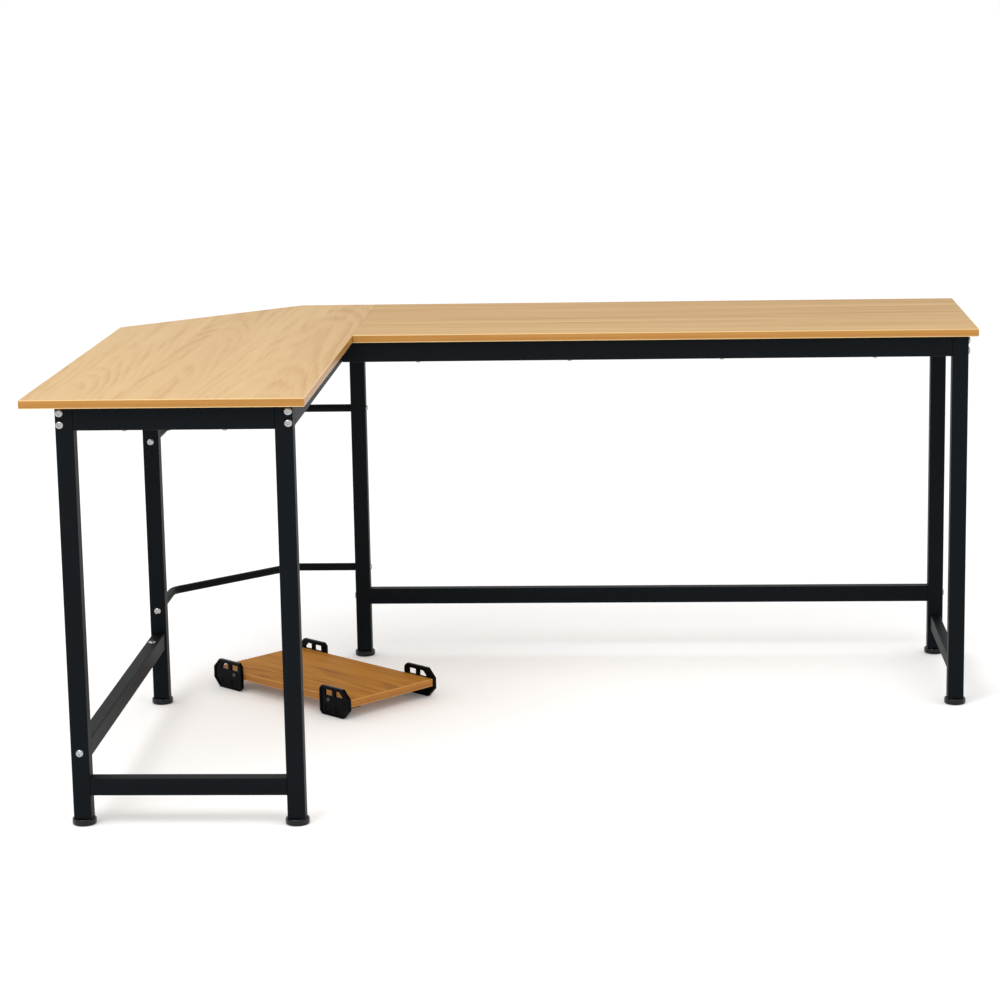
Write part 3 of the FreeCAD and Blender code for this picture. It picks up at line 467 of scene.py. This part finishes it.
def coated(name, colour, specular, level, change, grain, depth):
    """A black skin with a pebbled surface, its grain and depth in metres."""
    material, tree, shader = new_finish(name, IOR=1.5)
    shader.inputs["Specular IOR Level"].default_value = specular
    spot = place(tree)
    feel = use_group(tree, handled, Vector=spot, Cloud_Size=0.12, Level=level, Change=change)
    skin = use_group(tree, pebble, Vector=spot, Grain_Size=grain)
    rubbed = tuple(channel * RUBBED_LIGHTER for channel in colour)
    share = calc(tree, "MULTIPLY", feel["Mask"], RUBBED_SHARE)
    tint = blend_colours(tree, share, colour + (1,), rubbed + (1,))
    wire(tree, shader.inputs["Base Color"], tint)
    wire(tree, shader.inputs["Roughness"], feel["Roughness"])
    relief(tree, shader, skin["Height"], depth, 0.35)
    return material


def metal(name, colour, bloom, level, change, stretch):
    """Bare or plated steel, with roughness drawn out along one direction."""
    material, tree, shader = new_finish(name, Metallic=1.0)
    spot = place(tree)
    x, y, z = split(tree, spot)
    lines = join(tree, calc(tree, "MULTIPLY", x, stretch), y, z)
    feel = use_group(tree, handled, Vector=lines, Cloud_Size=0.012, Level=level, Change=change)
    wire(tree, shader.inputs["Base Color"], blend_colours(tree, feel["Mask"], colour, bloom))
    wire(tree, shader.inputs["Roughness"], feel["Roughness"])
    return material


finishes = {
    "black_powder_coat": coated(
        "black_powder_coat", (0.0022, 0.0036, 0.0050), specular=0.07,
        level=0.50, change=0.07, grain=0.9 * MM, depth=0.06 * MM,
    ),
    "black_plastic": coated(
        "black_plastic", (0.0010, 0.0012, 0.0016), specular=0.05,
        level=0.24, change=0.05, grain=0.6 * MM, depth=0.04 * MM,
    ),
    "glossy_glide": coated(
        "glossy_glide", (0.0010, 0.0013, 0.0017), specular=0.30,
        level=0.12, change=0.04, grain=0.8 * MM, depth=0.01 * MM,
    ),
    "zinc_plate": metal(
        "zinc_plate", (0.44, 0.44, 0.42, 1), bloom=(0.36, 0.38, 0.41, 1),
        level=0.22, change=0.06, stretch=1.0,
    ),
    "black_oxide": metal(
        "black_oxide", (0.10, 0.10, 0.105, 1), bloom=(0.06, 0.065, 0.075, 1),
        level=0.30, change=0.08, stretch=1.0,
    ),
    "bare_steel": metal(
        "bare_steel", (0.42, 0.42, 0.42, 1), bloom=(0.34, 0.35, 0.36, 1),
        level=0.42, change=0.12, stretch=8.0,
    ),
}
for node, slot in slot_of.items():
    finish_of.setdefault(node, finishes.get(slot))
for node, cad_object in nodes.items():
    cad_object.material_slots[0].material = finish_of[node]
print("finishes on", len(finish_of), "nodes")

# %% [markdown]
# ## Joining the loose triangles
# A CAD node arrives as loose triangles, which shade flat. For a shape that is
# already right, a copy is made: its corners are merged, its flat faces are
# dissolved to one face each, and it is shaded smooth but for its sharp edges.
# Weighted Normal lets the large flat faces win at a rounded corner, so light changes only across
# the corner. `settle` finishes every piece in the same way: the piece rides on the body of the
# node it stands for, and takes its finish.

# %% Copy and settle helpers
WELD = 0.001 * MM
FLAT_WITHIN = math.radians(0.3)
scene = bpy.context.scene


def clean_copy(node):
    """The node's shape as a bmesh of joined, flat faces."""
    shape = bmesh.new()
    shape.from_mesh(nodes[node].data)
    bmesh.ops.remove_doubles(shape, verts=shape.verts, dist=WELD)
    bmesh.ops.dissolve_limit(
        shape, angle_limit=FLAT_WITHIN, verts=shape.verts, edges=shape.edges
    )
    return shape


def settle(name, shape, *stands_for, finish=None, sharp=32.0):
    """Makes the bmesh a finished piece in place of one or more CAD nodes."""
    mesh = bpy.data.meshes.new(name)
    shape.to_mesh(mesh)
    shape.free()
    for extra in ("custom_normal", "sharp_edge", "sharp_face"):
        if extra in mesh.attributes:
            mesh.attributes.remove(mesh.attributes[extra])
    mesh.materials.clear()
    mesh.materials.append(finish or finish_of[stands_for[0]])
    mesh.shade_smooth()
    mesh.set_sharp_from_angle(angle=math.radians(sharp))
    piece = bpy.data.objects.new(name, mesh)
    scene.collection.objects.link(piece)
    even = piece.modifiers.new("even shading", "WEIGHTED_NORMAL")
    even.keep_sharp = True
    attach(piece, body_of[stands_for[0]])
    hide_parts(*stands_for)
    return piece


# %% Square tubes and bent braces
TUBES = [
    node
    for node, slot in slot_of.items()
    if slot == "black_powder_coat" and node != "stretcher_tongue"
]
for node in TUBES:
    settle(node + "_tube", clean_copy(node), node)
print("tubes smoothed:", len(TUBES))

# %% [markdown]
# ## Boards and their edging
# A board's face is a flat sheet with a hair of softness at its rim, which shows
# as a fine joint line against the edging. The edging is rounded over along
# its outer edges by a trimming cutter. Its radius stays below the strip's own
# thickness, so the rounding never runs into the board. Both are bevelled in
# bmesh, where single edges can be picked.

# %% Board helpers
RIM_SOFTNESS = 0.1 * MM
TRIM_RADIUS = 0.9 * MM
TRIM_STEPS = 4
FACES_UP = 0.99
FACES_SIDEWAYS = 0.5
FACES_LEVEL = 0.1


def flat_board(name, node):
    """A board with the node's outline and thickness, and a softened rim."""
    low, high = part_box(node)
    source = clean_copy(node)
    top = max(
        (face for face in source.faces if face.normal.z > FACES_UP),
        key=lambda face: face.calc_area(),
    )
    outline = [corner.co.copy() for corner in top.verts]
    source.free()
    shape = bmesh.new()
    rings = [[shape.verts.new((spot.x, spot.y, z)) for spot in outline] for z in (low.z, high.z)]
    shape.faces.new(rings[1])
    shape.faces.new(reversed(rings[0]))
    count = len(rings[0])
    for i in range(count):
        j = (i + 1) % count
        shape.faces.new((rings[0][i], rings[0][j], rings[1][j], rings[1][i]))
    rim = [edge for edge in shape.edges if edge.verts[0].co.z == edge.verts[1].co.z]
    bmesh.ops.bevel(shape, geom=rim, offset=RIM_SOFTNESS, segments=2, profile=0.5, affect="EDGES")
    bmesh.ops.recalc_face_normals(shape, faces=shape.faces)
    return settle(name, shape, node)


def trimmed_band(name, node, board):
    """The node's edging with rounded outer edges and a UV map along it."""
    low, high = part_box(board)
    middle = (low + high) / 2
    shape = clean_copy(node)
    picked = []
    for edge in shape.edges:
        normals = [face.normal for face in edge.link_faces]
        sides = [normal for normal in normals if abs(normal.z) < FACES_SIDEWAYS]
        spot = (edge.verts[0].co + edge.verts[1].co) / 2 - middle
        spot.z = 0
        if sides and all(normal.dot(spot) > 0 for normal in sides):
            picked.append(edge)
    bmesh.ops.bevel(
        shape, geom=picked, offset=TRIM_RADIUS, segments=TRIM_STEPS, profile=0.5, affect="EDGES"
    )
    uv = shape.loops.layers.uv.new("along_strip")
    for face in shape.faces:
        outward = Vector((face.normal.x, face.normal.y, 0))
        if outward.length < FACES_LEVEL:
            outward = Vector((0, 1, 0))
        forward = outward.normalized().cross(Vector((0, 0, 1)))
        for loop in face.loops:
            loop[uv].uv = (loop.vert.co.dot(forward), loop.vert.co.z - middle.z)
    return settle(name, shape, node)


# %% Make the boards and edging
for board in ("return_top", "main_top", "stand_board"):
    piece = flat_board(board + "_panel", board)
    print(piece.name, len(piece.data.polygons), "faces")
for band, board in (
    ("return_edge_band", "return_top"),
    ("main_edge_band", "main_top"),
    ("stand_edge_band", "stand_board"),
):
    piece = trimmed_band(band + "_strip", band, board)
    print(piece.name, len(piece.data.polygons), "faces")

# %% [markdown]
# ## The stand's corner brackets
# Each bracket is one plastic moulding with two windows. A mould can't make a
# sharp edge, so every edge gets a radius, and those radii catch the light.
# A Bevel modifier limited by angle finds the edges by itself. It has to come
# before Weighted Normal, which then evens the shading of its new faces.

# %% Brackets
MOULD_RADIUS = 1.1 * MM
MOULD_EDGE = math.radians(28)
brackets = [node for node in slot_of if node.startswith("stand_bracket_")]
for node in brackets:
    piece = settle(node + "_moulding", clean_copy(node), node)
    rounding = piece.modifiers.new("mould radius", "BEVEL")
    rounding.width = MOULD_RADIUS
    rounding.segments = 3
    rounding.limit_method = "ANGLE"
    rounding.angle_limit = MOULD_EDGE
    rounding.use_clamp_overlap = False
    piece.modifiers.move(1, 0)
print("brackets:", len(brackets))

# %% [markdown]
# ## Turned shapes and threads
# Bolt heads, feet and studs are all turned about an axis. `turned` spins a
# profile of radius and height pairs. A pair's third entry can bend its ring to
# a hexagon or a cross, which makes a driver's socket without any cutting.
# `thread` winds its rings down: each is lowered as it goes round, so that after
# a turn it meets the ring two below it, and rings take turns at being crest
# and root. That gives a true helix from one closed grid.

# %% Turning helpers
SIXTH = math.pi / 3
QUARTER = math.pi / 2
CROSS_ARM = 0.3
ORIGIN = Vector((0, 0, 0))


def hexagon(angle, size):
    """Distance to a hexagon's side, size being half its width over flats."""
    return size / math.cos((angle + SIXTH / 2) % SIXTH - SIXTH / 2)


def cross(angle, size):
    """Distance to the outline of a cross, size being the arm's half length."""
    turn = (angle + QUARTER / 2) % QUARTER - QUARTER / 2
    arm_side = CROSS_ARM * size / max(abs(math.sin(turn)), 1e-6)
    return min(size / math.cos(turn), arm_side)


def on_ring(shape, centre, reach, angle, height):
    """A new point of the bmesh at that reach and angle about the centre."""
    offset = Vector((reach * math.cos(angle), reach * math.sin(angle), height))
    return shape.verts.new(centre + offset)


def turned(shape, profile, angles, centre=ORIGIN):
    """Spins the profile about Z into the bmesh."""
    rings = []
    for radius, height, *bend in profile:
        reaches = [bend[0](angle, radius) if bend else radius for angle in angles]
        rings.append([
            on_ring(shape, centre, reach, angle, height) for reach, angle in zip(reaches, angles)
        ])
    for inner, outer in zip(rings, rings[1:]):
        for i in range(len(angles)):
            j = (i + 1) % len(angles)
            shape.faces.new((inner[i], outer[i], outer[j], inner[j]))


def even_angles(count):
    """Angles that go once round in equal steps."""
    return [2 * math.pi * i / count for i in range(count)]


def thread(shape, crest, root, top, bottom, pitch, angles, centre=ORIGIN):
    """A closed threaded rod about Z, with flat ends."""
    count = len(angles)
    rows = int(math.ceil(2 * (top - bottom) / pitch)) + 3
    grid = []
    for row in range(rows):
        ring = []
        for i, angle in enumerate(angles):
            height = top + pitch - row * pitch / 2 - pitch * i / count
            reach = crest if row % 2 else root
            if not bottom < height < top:
                height = min(max(height, bottom), top)
                reach = root
            ring.append(on_ring(shape, centre, reach, angle, height))
        grid.append(ring)
    for row in range(rows - 1):
        upper, lower = grid[row], grid[row + 1]
        for i in range(count - 1):
            shape.faces.new((upper[i], lower[i], lower[i + 1], upper[i + 1]))
        if row + 3 < rows:
            shape.faces.new((upper[-1], lower[-1], grid[row + 3][0], grid[row + 2][0]))
    bmesh.ops.remove_doubles(shape, verts=sum(grid, []), dist=WELD)
    bmesh.ops.holes_fill(shape, edges=[edge for edge in shape.edges if edge.is_boundary])


def finished(shape):
    """Welds the bmesh and turns every face outwards."""
    bmesh.ops.remove_doubles(shape, verts=shape.verts, dist=2 * WELD)
    bmesh.ops.recalc_face_normals(shape, faces=shape.faces)
    return shape


# %% [markdown]
# ## Reading where the fasteners sit
# The CAD nodes of bolts and screws hold one plain solid for each fastener.
# Splitting such a node into its islands gives every place and direction. The
# direction is the odd one of the three principal axes, because a fastener is
# round in the other two, and it points to the end with the wider head. It is
# rounded, because a head that points straight down is turned by half a turn
# about any level axis, and the smallest error would choose which.

# %% Fastener places
TIP_SLICE = 0.5 * MM
HEAD_SLICE = 4.0 * MM
WIDER_THAN_SHANK = 1.15


def islands(node):
    """The separate solids of a node, each as an array of points."""
    shape = clean_copy(node)
    waiting = dict.fromkeys(shape.verts)
    found = []
    while waiting:
        to_visit = [waiting.popitem()[0]]
        group = []
        while to_visit:
            vert = to_visit.pop()
            group.append(vert.co.to_tuple())
            for link in vert.link_edges:
                other = link.other_vert(vert)
                if other in waiting:
                    del waiting[other]
                    to_visit.append(other)
        found.append(np.array(group))
    shape.free()
    return sorted(found, key=lambda points: tuple(np.round(points.mean(0), 5)))


def measured(points):
    """One fastener's head end, direction and sizes."""
    middle = points.mean(0)
    values, axes = np.linalg.eigh(np.cov((points - middle).T))
    axis = axes[:, 0 if values[1] - values[0] > values[2] - values[1] else 2]
    height = (points - middle) @ axis
    reach = np.linalg.norm(points - middle - np.outer(height, axis), axis=1)
    low_end = reach[height < height.min() + TIP_SLICE].max()
    high_end = reach[height > height.max() - HEAD_SLICE].max()
    if low_end > high_end:
        axis, height = -axis, -height
    shank = reach[height < height.min() + TIP_SLICE].max()
    wide = height[reach > WIDER_THAN_SHANK * shank]
    return {
        "spot": middle + axis * height.max(),
        "direction": np.round(axis, 6) + 0.0,
        "length": height.max() - height.min(),
        "head_radius": reach.max(),
        "shank_radius": shank,
        "head_height": height.max() - wide.min(),
    }


FASTENERS = [node for node in slot_of if node.endswith(("_bolts", "_bolt", "_screws"))]
places = {node: [measured(points) for points in islands(node)] for node in FASTENERS}
for node, found in places.items():
    length, head = (round(found[0][size] / MM, 2) for size in ("length", "head_radius"))
    print(f"{len(found)} {node}: {length} mm long, head radius {head} mm")

# %% [markdown]
# ## One bolt and one screw
# The frame's bolts are button heads with a hexagon socket: a dome with a small
# flat rim. The screws for wood are pan heads with a cross recess and a coarse
# thread. Each pattern is made once, with its head's top at the origin and its
# shank down Z. The profile is written in shares of the head's radius and
# height, so one outline serves every size: the socket's floor and mouth, the
# dome, its rolled rim, and the flat underside in to the shank.

# %% Pattern fasteners
SOCKET_SHARE = 0.36
SOCKET_FLOOR = 0.62
COLLAR = 0.6 * MM
OVERLAP = 0.1 * MM
THREAD_ROOT = 0.86
BOLT_PITCH = 1.0 * MM
SCREW_PITCH = 1.3 * MM
HEAD_SHARP = math.radians(40)


def fastener(name, size, socket, pitch, ring_angles):
    """A dome-headed fastener with a socket of the given outline."""
    head, high = size["head_radius"], size["head_height"]
    shank = size["shank_radius"]
    mouth = SOCKET_SHARE * head
    profile = [
        (0.0, -SOCKET_FLOOR * high),
        (mouth * 0.96, -SOCKET_FLOOR * high, socket),
        (mouth, -0.06 * high, socket),
        (mouth * 1.32, -0.015 * high),
        (head * 0.62, -0.07 * high),
        (head * 0.78, -0.22 * high),
        (head * 0.91, -0.47 * high),
        (head * 0.985, -0.76 * high),
        (head, -0.86 * high),
        (head * 0.985, -0.985 * high),
        (head * 0.95, -high),
        (shank, -high),
        (shank, -high - COLLAR),
        (0.0, -high - COLLAR),
    ]
    shape = bmesh.new()
    turned(shape, profile, ring_angles)
    finished(shape)
    rod = bmesh.new()
    top = -high - COLLAR + OVERLAP
    thread(rod, shank, shank * THREAD_ROOT, top, -size["length"], pitch, even_angles(12))
    finished(rod)
    rod_mesh = bpy.data.meshes.new("rod")
    rod.to_mesh(rod_mesh)
    rod.free()
    shape.from_mesh(rod_mesh)
    bpy.data.meshes.remove(rod_mesh)
    mesh = bpy.data.meshes.new(name)
    shape.to_mesh(mesh)
    shape.free()
    mesh.shade_smooth()
    mesh.set_sharp_from_angle(angle=HEAD_SHARP)
    return bpy.data.objects.new(name, mesh)


# Closer steps across each arm's end keep the cross's corners crisp.
arm_angles = [-0.29, -0.14, 0.0, 0.14, 0.29, 0.55, QUARTER / 2, 1.02]
CROSS_ANGLES = [angle + k * QUARTER for k in range(4) for angle in arm_angles]
patterns = {}
for node, found in places.items():
    if node.endswith("_screws"):
        outline = (cross, SCREW_PITCH, CROSS_ANGLES)
    else:
        outline = (hexagon, BOLT_PITCH, even_angles(36))
    patterns[node] = fastener(node + "_pattern", found[0], *outline)
print({name: len(piece.data.polygons) for name, piece in patterns.items()})

# %% [markdown]
# ## Setting the fasteners with Geometry Nodes
# The same fastener is needed in many places, so one node tree sets them all.
# Each place is a point that carries its direction. An instance of the pattern
# is turned to that direction and then spun at random, as no one stops a bolt
# at the same angle twice. The instances become real faces at the end.

# %% Geometry Nodes tree
setter, given, result = new_group(
    "set fasteners",
    "GeometryNodeTree",
    [
        ("Places", "Geometry", None),
        ("Fastener", "Object", None),
        ("Finish", "Material", None),
        ("Spin Seed", "Int", 1),
    ],
    [("Geometry", "Geometry")],
)
pointing = setter.nodes.new("GeometryNodeInputNamedAttribute")
pointing.data_type = "FLOAT_VECTOR"
pointing.inputs["Name"].default_value = "direction"
aligned = setter.nodes.new("FunctionNodeAlignRotationToVector")
aligned.axis = "Z"
wire(setter, aligned.inputs["Vector"], pointing.outputs["Attribute"])
spin = setter.nodes.new("FunctionNodeRandomValue")
spin.data_type = "FLOAT"
spin.inputs[3].default_value = 2 * math.pi
wire(setter, spin.inputs["Seed"], given["Spin Seed"])
about_z = setter.nodes.new("FunctionNodeEulerToRotation")
wire(setter, about_z.inputs[0], join(setter, 0.0, 0.0, spin.outputs[1]))
spun = setter.nodes.new("FunctionNodeRotateRotation")
spun.rotation_space = "LOCAL"
wire(setter, spun.inputs[0], aligned.outputs[0])
wire(setter, spun.inputs[1], about_z.outputs[0])
pattern = setter.nodes.new("GeometryNodeObjectInfo")
wire(setter, pattern.inputs["Object"], given["Fastener"])
instances = setter.nodes.new("GeometryNodeInstanceOnPoints")
wire(setter, instances.inputs["Points"], given["Places"])
wire(setter, instances.inputs["Instance"], pattern.outputs["Geometry"])
wire(setter, instances.inputs["Rotation"], spun.outputs[0])
real = setter.nodes.new("GeometryNodeRealizeInstances")
wire(setter, real.inputs[0], instances.outputs[0])
painted = setter.nodes.new("GeometryNodeSetMaterial")
wire(setter, painted.inputs["Geometry"], real.outputs[0])
wire(setter, painted.inputs["Material"], given["Finish"])
wire(setter, result["Geometry"], painted.outputs[0])

# %% Set every fastener


def set_fasteners(node, seed):
    """Runs the tree on a node's places and keeps the plain mesh."""
    mesh = bpy.data.meshes.new(node + "_places")
    mesh.from_pydata([tuple(found["spot"]) for found in places[node]], [], [])
    direction = mesh.attributes.new("direction", "FLOAT_VECTOR", "POINT")
    direction.data.foreach_set(
        "vector", np.array([found["direction"] for found in places[node]]).ravel()
    )
    holder = bpy.data.objects.new(node + "_holder", mesh)
    scene.collection.objects.link(holder)
    modifier = holder.modifiers.new("set fasteners", "NODES")
    modifier.node_group = setter
    socket = {item.name: item.identifier for item in setter.interface.items_tree}
    modifier[socket["Fastener"]] = patterns[node]
    modifier[socket["Finish"]] = finish_of[node]
    modifier[socket["Spin Seed"]] = seed
    bpy.context.view_layer.update()
    ready = holder.evaluated_get(bpy.context.evaluated_depsgraph_get())
    made = bpy.data.meshes.new_from_object(ready)
    made.name = node + "_set"
    bpy.data.objects.remove(holder)
    piece = bpy.data.objects.new(node + "_set", made)
    scene.collection.objects.link(piece)
    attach(piece, body_of[node])
    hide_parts(node)
    return piece


for seed, node in enumerate(FASTENERS, 1):
    piece = set_fasteners(node, seed)
    print(piece.name, len(places[node]), "fasteners,", len(piece.data.polygons), "faces")

# %% [markdown]
# ## Levelling feet
# Under each leg a threaded stud turns in a plastic plug and carries a round
# glide. The stud's thread is a real helix with the pitch that the joint
# moves by. The glide is turned, with a full shoulder that shows as a bright
# crescent, a shallow dish on top and a boss round the stud.

# %% Feet
FOOT_PITCH = 1.25 * MM
FOOT_THREAD_DEPTH = 0.6 * MM
STUD_GAP = 0.05 * MM
SHOULDER = 3.2 * MM
SHOULDER_STEPS = 6
FOOT_SHARP = 50.0
feet = sorted(node[: -len("_foot_pad")] for node in slot_of if node.endswith("_foot_pad"))


def glide_profile(radius, height, hole, floor):
    """Radius and height pairs from the centre below to the hole's floor."""
    turns = [QUARTER * i / SHOULDER_STEPS for i in range(SHOULDER_STEPS + 1)]
    rounded = [
        (radius - SHOULDER * (1 - math.cos(turn)), height - SHOULDER * (1 - math.sin(turn)))
        for turn in turns
    ]
    return [
        (0.0, 0.0),
        (radius - 2.0 * MM, 0.0),
        (radius - 1.2 * MM, 0.25 * MM),
        (radius - 0.3 * MM, 1.5 * MM),
        (radius, 2.6 * MM),
        (radius, height - 5.0 * MM),
        *rounded,
        (radius - 4.6 * MM, height - 0.5 * MM),
        (hole + 3.4 * MM, height - 1.2 * MM),
        (hole + 2.6 * MM, height - 0.3 * MM),
        (hole + 1.4 * MM, height),
        (hole + 0.3 * MM, height),
        (hole, height - 0.4 * MM),
        (hole, floor),
        (0.0, floor),
    ]


for foot in feet:
    low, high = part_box(foot + "_foot_pad")
    stud_low, stud_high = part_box(foot + "_foot_stud")
    stud_radius = (stud_high.x - stud_low.x) / 2
    axis = Vector(((low.x + high.x) / 2, (low.y + high.y) / 2, 0))
    profile = glide_profile(
        (high.x - low.x) / 2, high.z - low.z, stud_radius + STUD_GAP, stud_low.z - low.z
    )
    pad = bmesh.new()
    turned(pad, profile, even_angles(56), axis + Vector((0, 0, low.z)))
    settle(
        foot + "_glide", finished(pad), foot + "_foot_pad",
        finish=finishes["glossy_glide"], sharp=FOOT_SHARP,
    )
    stud = bmesh.new()
    thread(
        stud, stud_radius, stud_radius - FOOT_THREAD_DEPTH, stud_high.z, stud_low.z,
        FOOT_PITCH, even_angles(20), axis,
    )
    settle(foot + "_threaded_stud", finished(stud), foot + "_foot_stud", sharp=FOOT_SHARP)
    settle(foot + "_plug", clean_copy(foot + "_foot_plug"), foot + "_foot_plug")
print("feet:", feet)

# %% [markdown]
# ## Floor, light and camera
# The desk stands on a wide pale floor under soft studio light. A bright panel
# high at the left front gives shape, a weak wide one fills in from the right,
# one overhead lights the boards, and an even white surround does the rest.
# Black paint shows little but reflections, so a long narrow strip in front
# draws thin lights along the tubes' corners, the glides and the bolt heads.
# The floor glows a little, so that it runs into the white surround with no
# horizon. The camera stands well back with a long lens, a little above the
# boards, which keeps the legs nearly parallel.

# %% Floor
FLOOR_RADIUS = 60.0
FLOOR_GAP = 0.2 * MM
floor_shape = bmesh.new()
bmesh.ops.create_circle(floor_shape, cap_ends=True, segments=96, radius=FLOOR_RADIUS)
floor_mesh = bpy.data.meshes.new("floor")
floor_shape.to_mesh(floor_mesh)
floor_shape.free()
floor = bpy.data.objects.new("floor", floor_mesh)
floor.location.z = cad_box[0][2] - FLOOR_GAP
scene.collection.objects.link(floor)
paper, tree, shader = new_finish("pale_floor", Roughness=0.9, Emission_Strength=0.08)
shader.inputs["Specular IOR Level"].default_value = 0.1
feel = use_group(tree, handled, Vector=place(tree), Cloud_Size=1.5)
tint = blend_colours(tree, feel["Mask"], (0.93, 0.93, 0.93, 1), (0.95, 0.95, 0.95, 1))
wire(tree, shader.inputs["Base Color"], tint)
floor_mesh.materials.append(paper)

# %% Light


def softbox(name, spot, aim, width, height, power):
    """A rectangular area light at spot that faces aim."""
    lamp = bpy.data.lights.new(name, "AREA")
    lamp.shape = "RECTANGLE"
    lamp.size, lamp.size_y, lamp.energy = width, height, power
    light = bpy.data.objects.new(name, lamp)
    light.location = spot
    light.rotation_mode = "QUATERNION"
    light.rotation_quaternion = (Vector(aim) - Vector(spot)).to_track_quat("-Z", "Y")
    scene.collection.objects.link(light)


softbox("key panel", (-1.6, -2.4, 3.2), (-0.2, 0.1, 0.5), width=1.6, height=1.2, power=34)
softbox("fill panel", (3.4, -1.8, 2.4), (0.2, 0.2, 0.4), width=2.4, height=2.0, power=8)
softbox("top panel", (0.0, -1.2, 3.0), (0.0, -0.2, 0.7), width=3.4, height=1.6, power=18)
softbox("rim strip", (-0.5, -3.0, 2.6), (0.0, -0.3, 0.5), width=3.6, height=0.2, power=14)

world = bpy.data.worlds.new("studio")
scene.world = world
world.use_nodes = True
surround = world.node_tree.nodes["Background"]
surround.inputs["Color"].default_value = (1, 1, 1, 1)
surround.inputs["Strength"].default_value = 1.0

# %% Camera
CAMERA_SPOT = (0.2135, -5.1674, 1.46)
CAMERA_TURNS = (78.93, 1.0, 2.967)
lens = bpy.data.cameras.new("camera")
lens.lens, lens.sensor_width = 100.31, 36.0
lens.clip_start, lens.clip_end = 0.1, 200.0
camera = bpy.data.objects.new("camera", lens)
camera.location = CAMERA_SPOT
camera.rotation_euler = [math.radians(turn) for turn in CAMERA_TURNS]
scene.collection.objects.link(camera)
scene.camera = camera
scene.view_settings.view_transform = "Standard"

# %% [markdown]
# ## Sizes
# The CAD box is printed.

# %% Print the CAD box
print("cad box", cad_box)
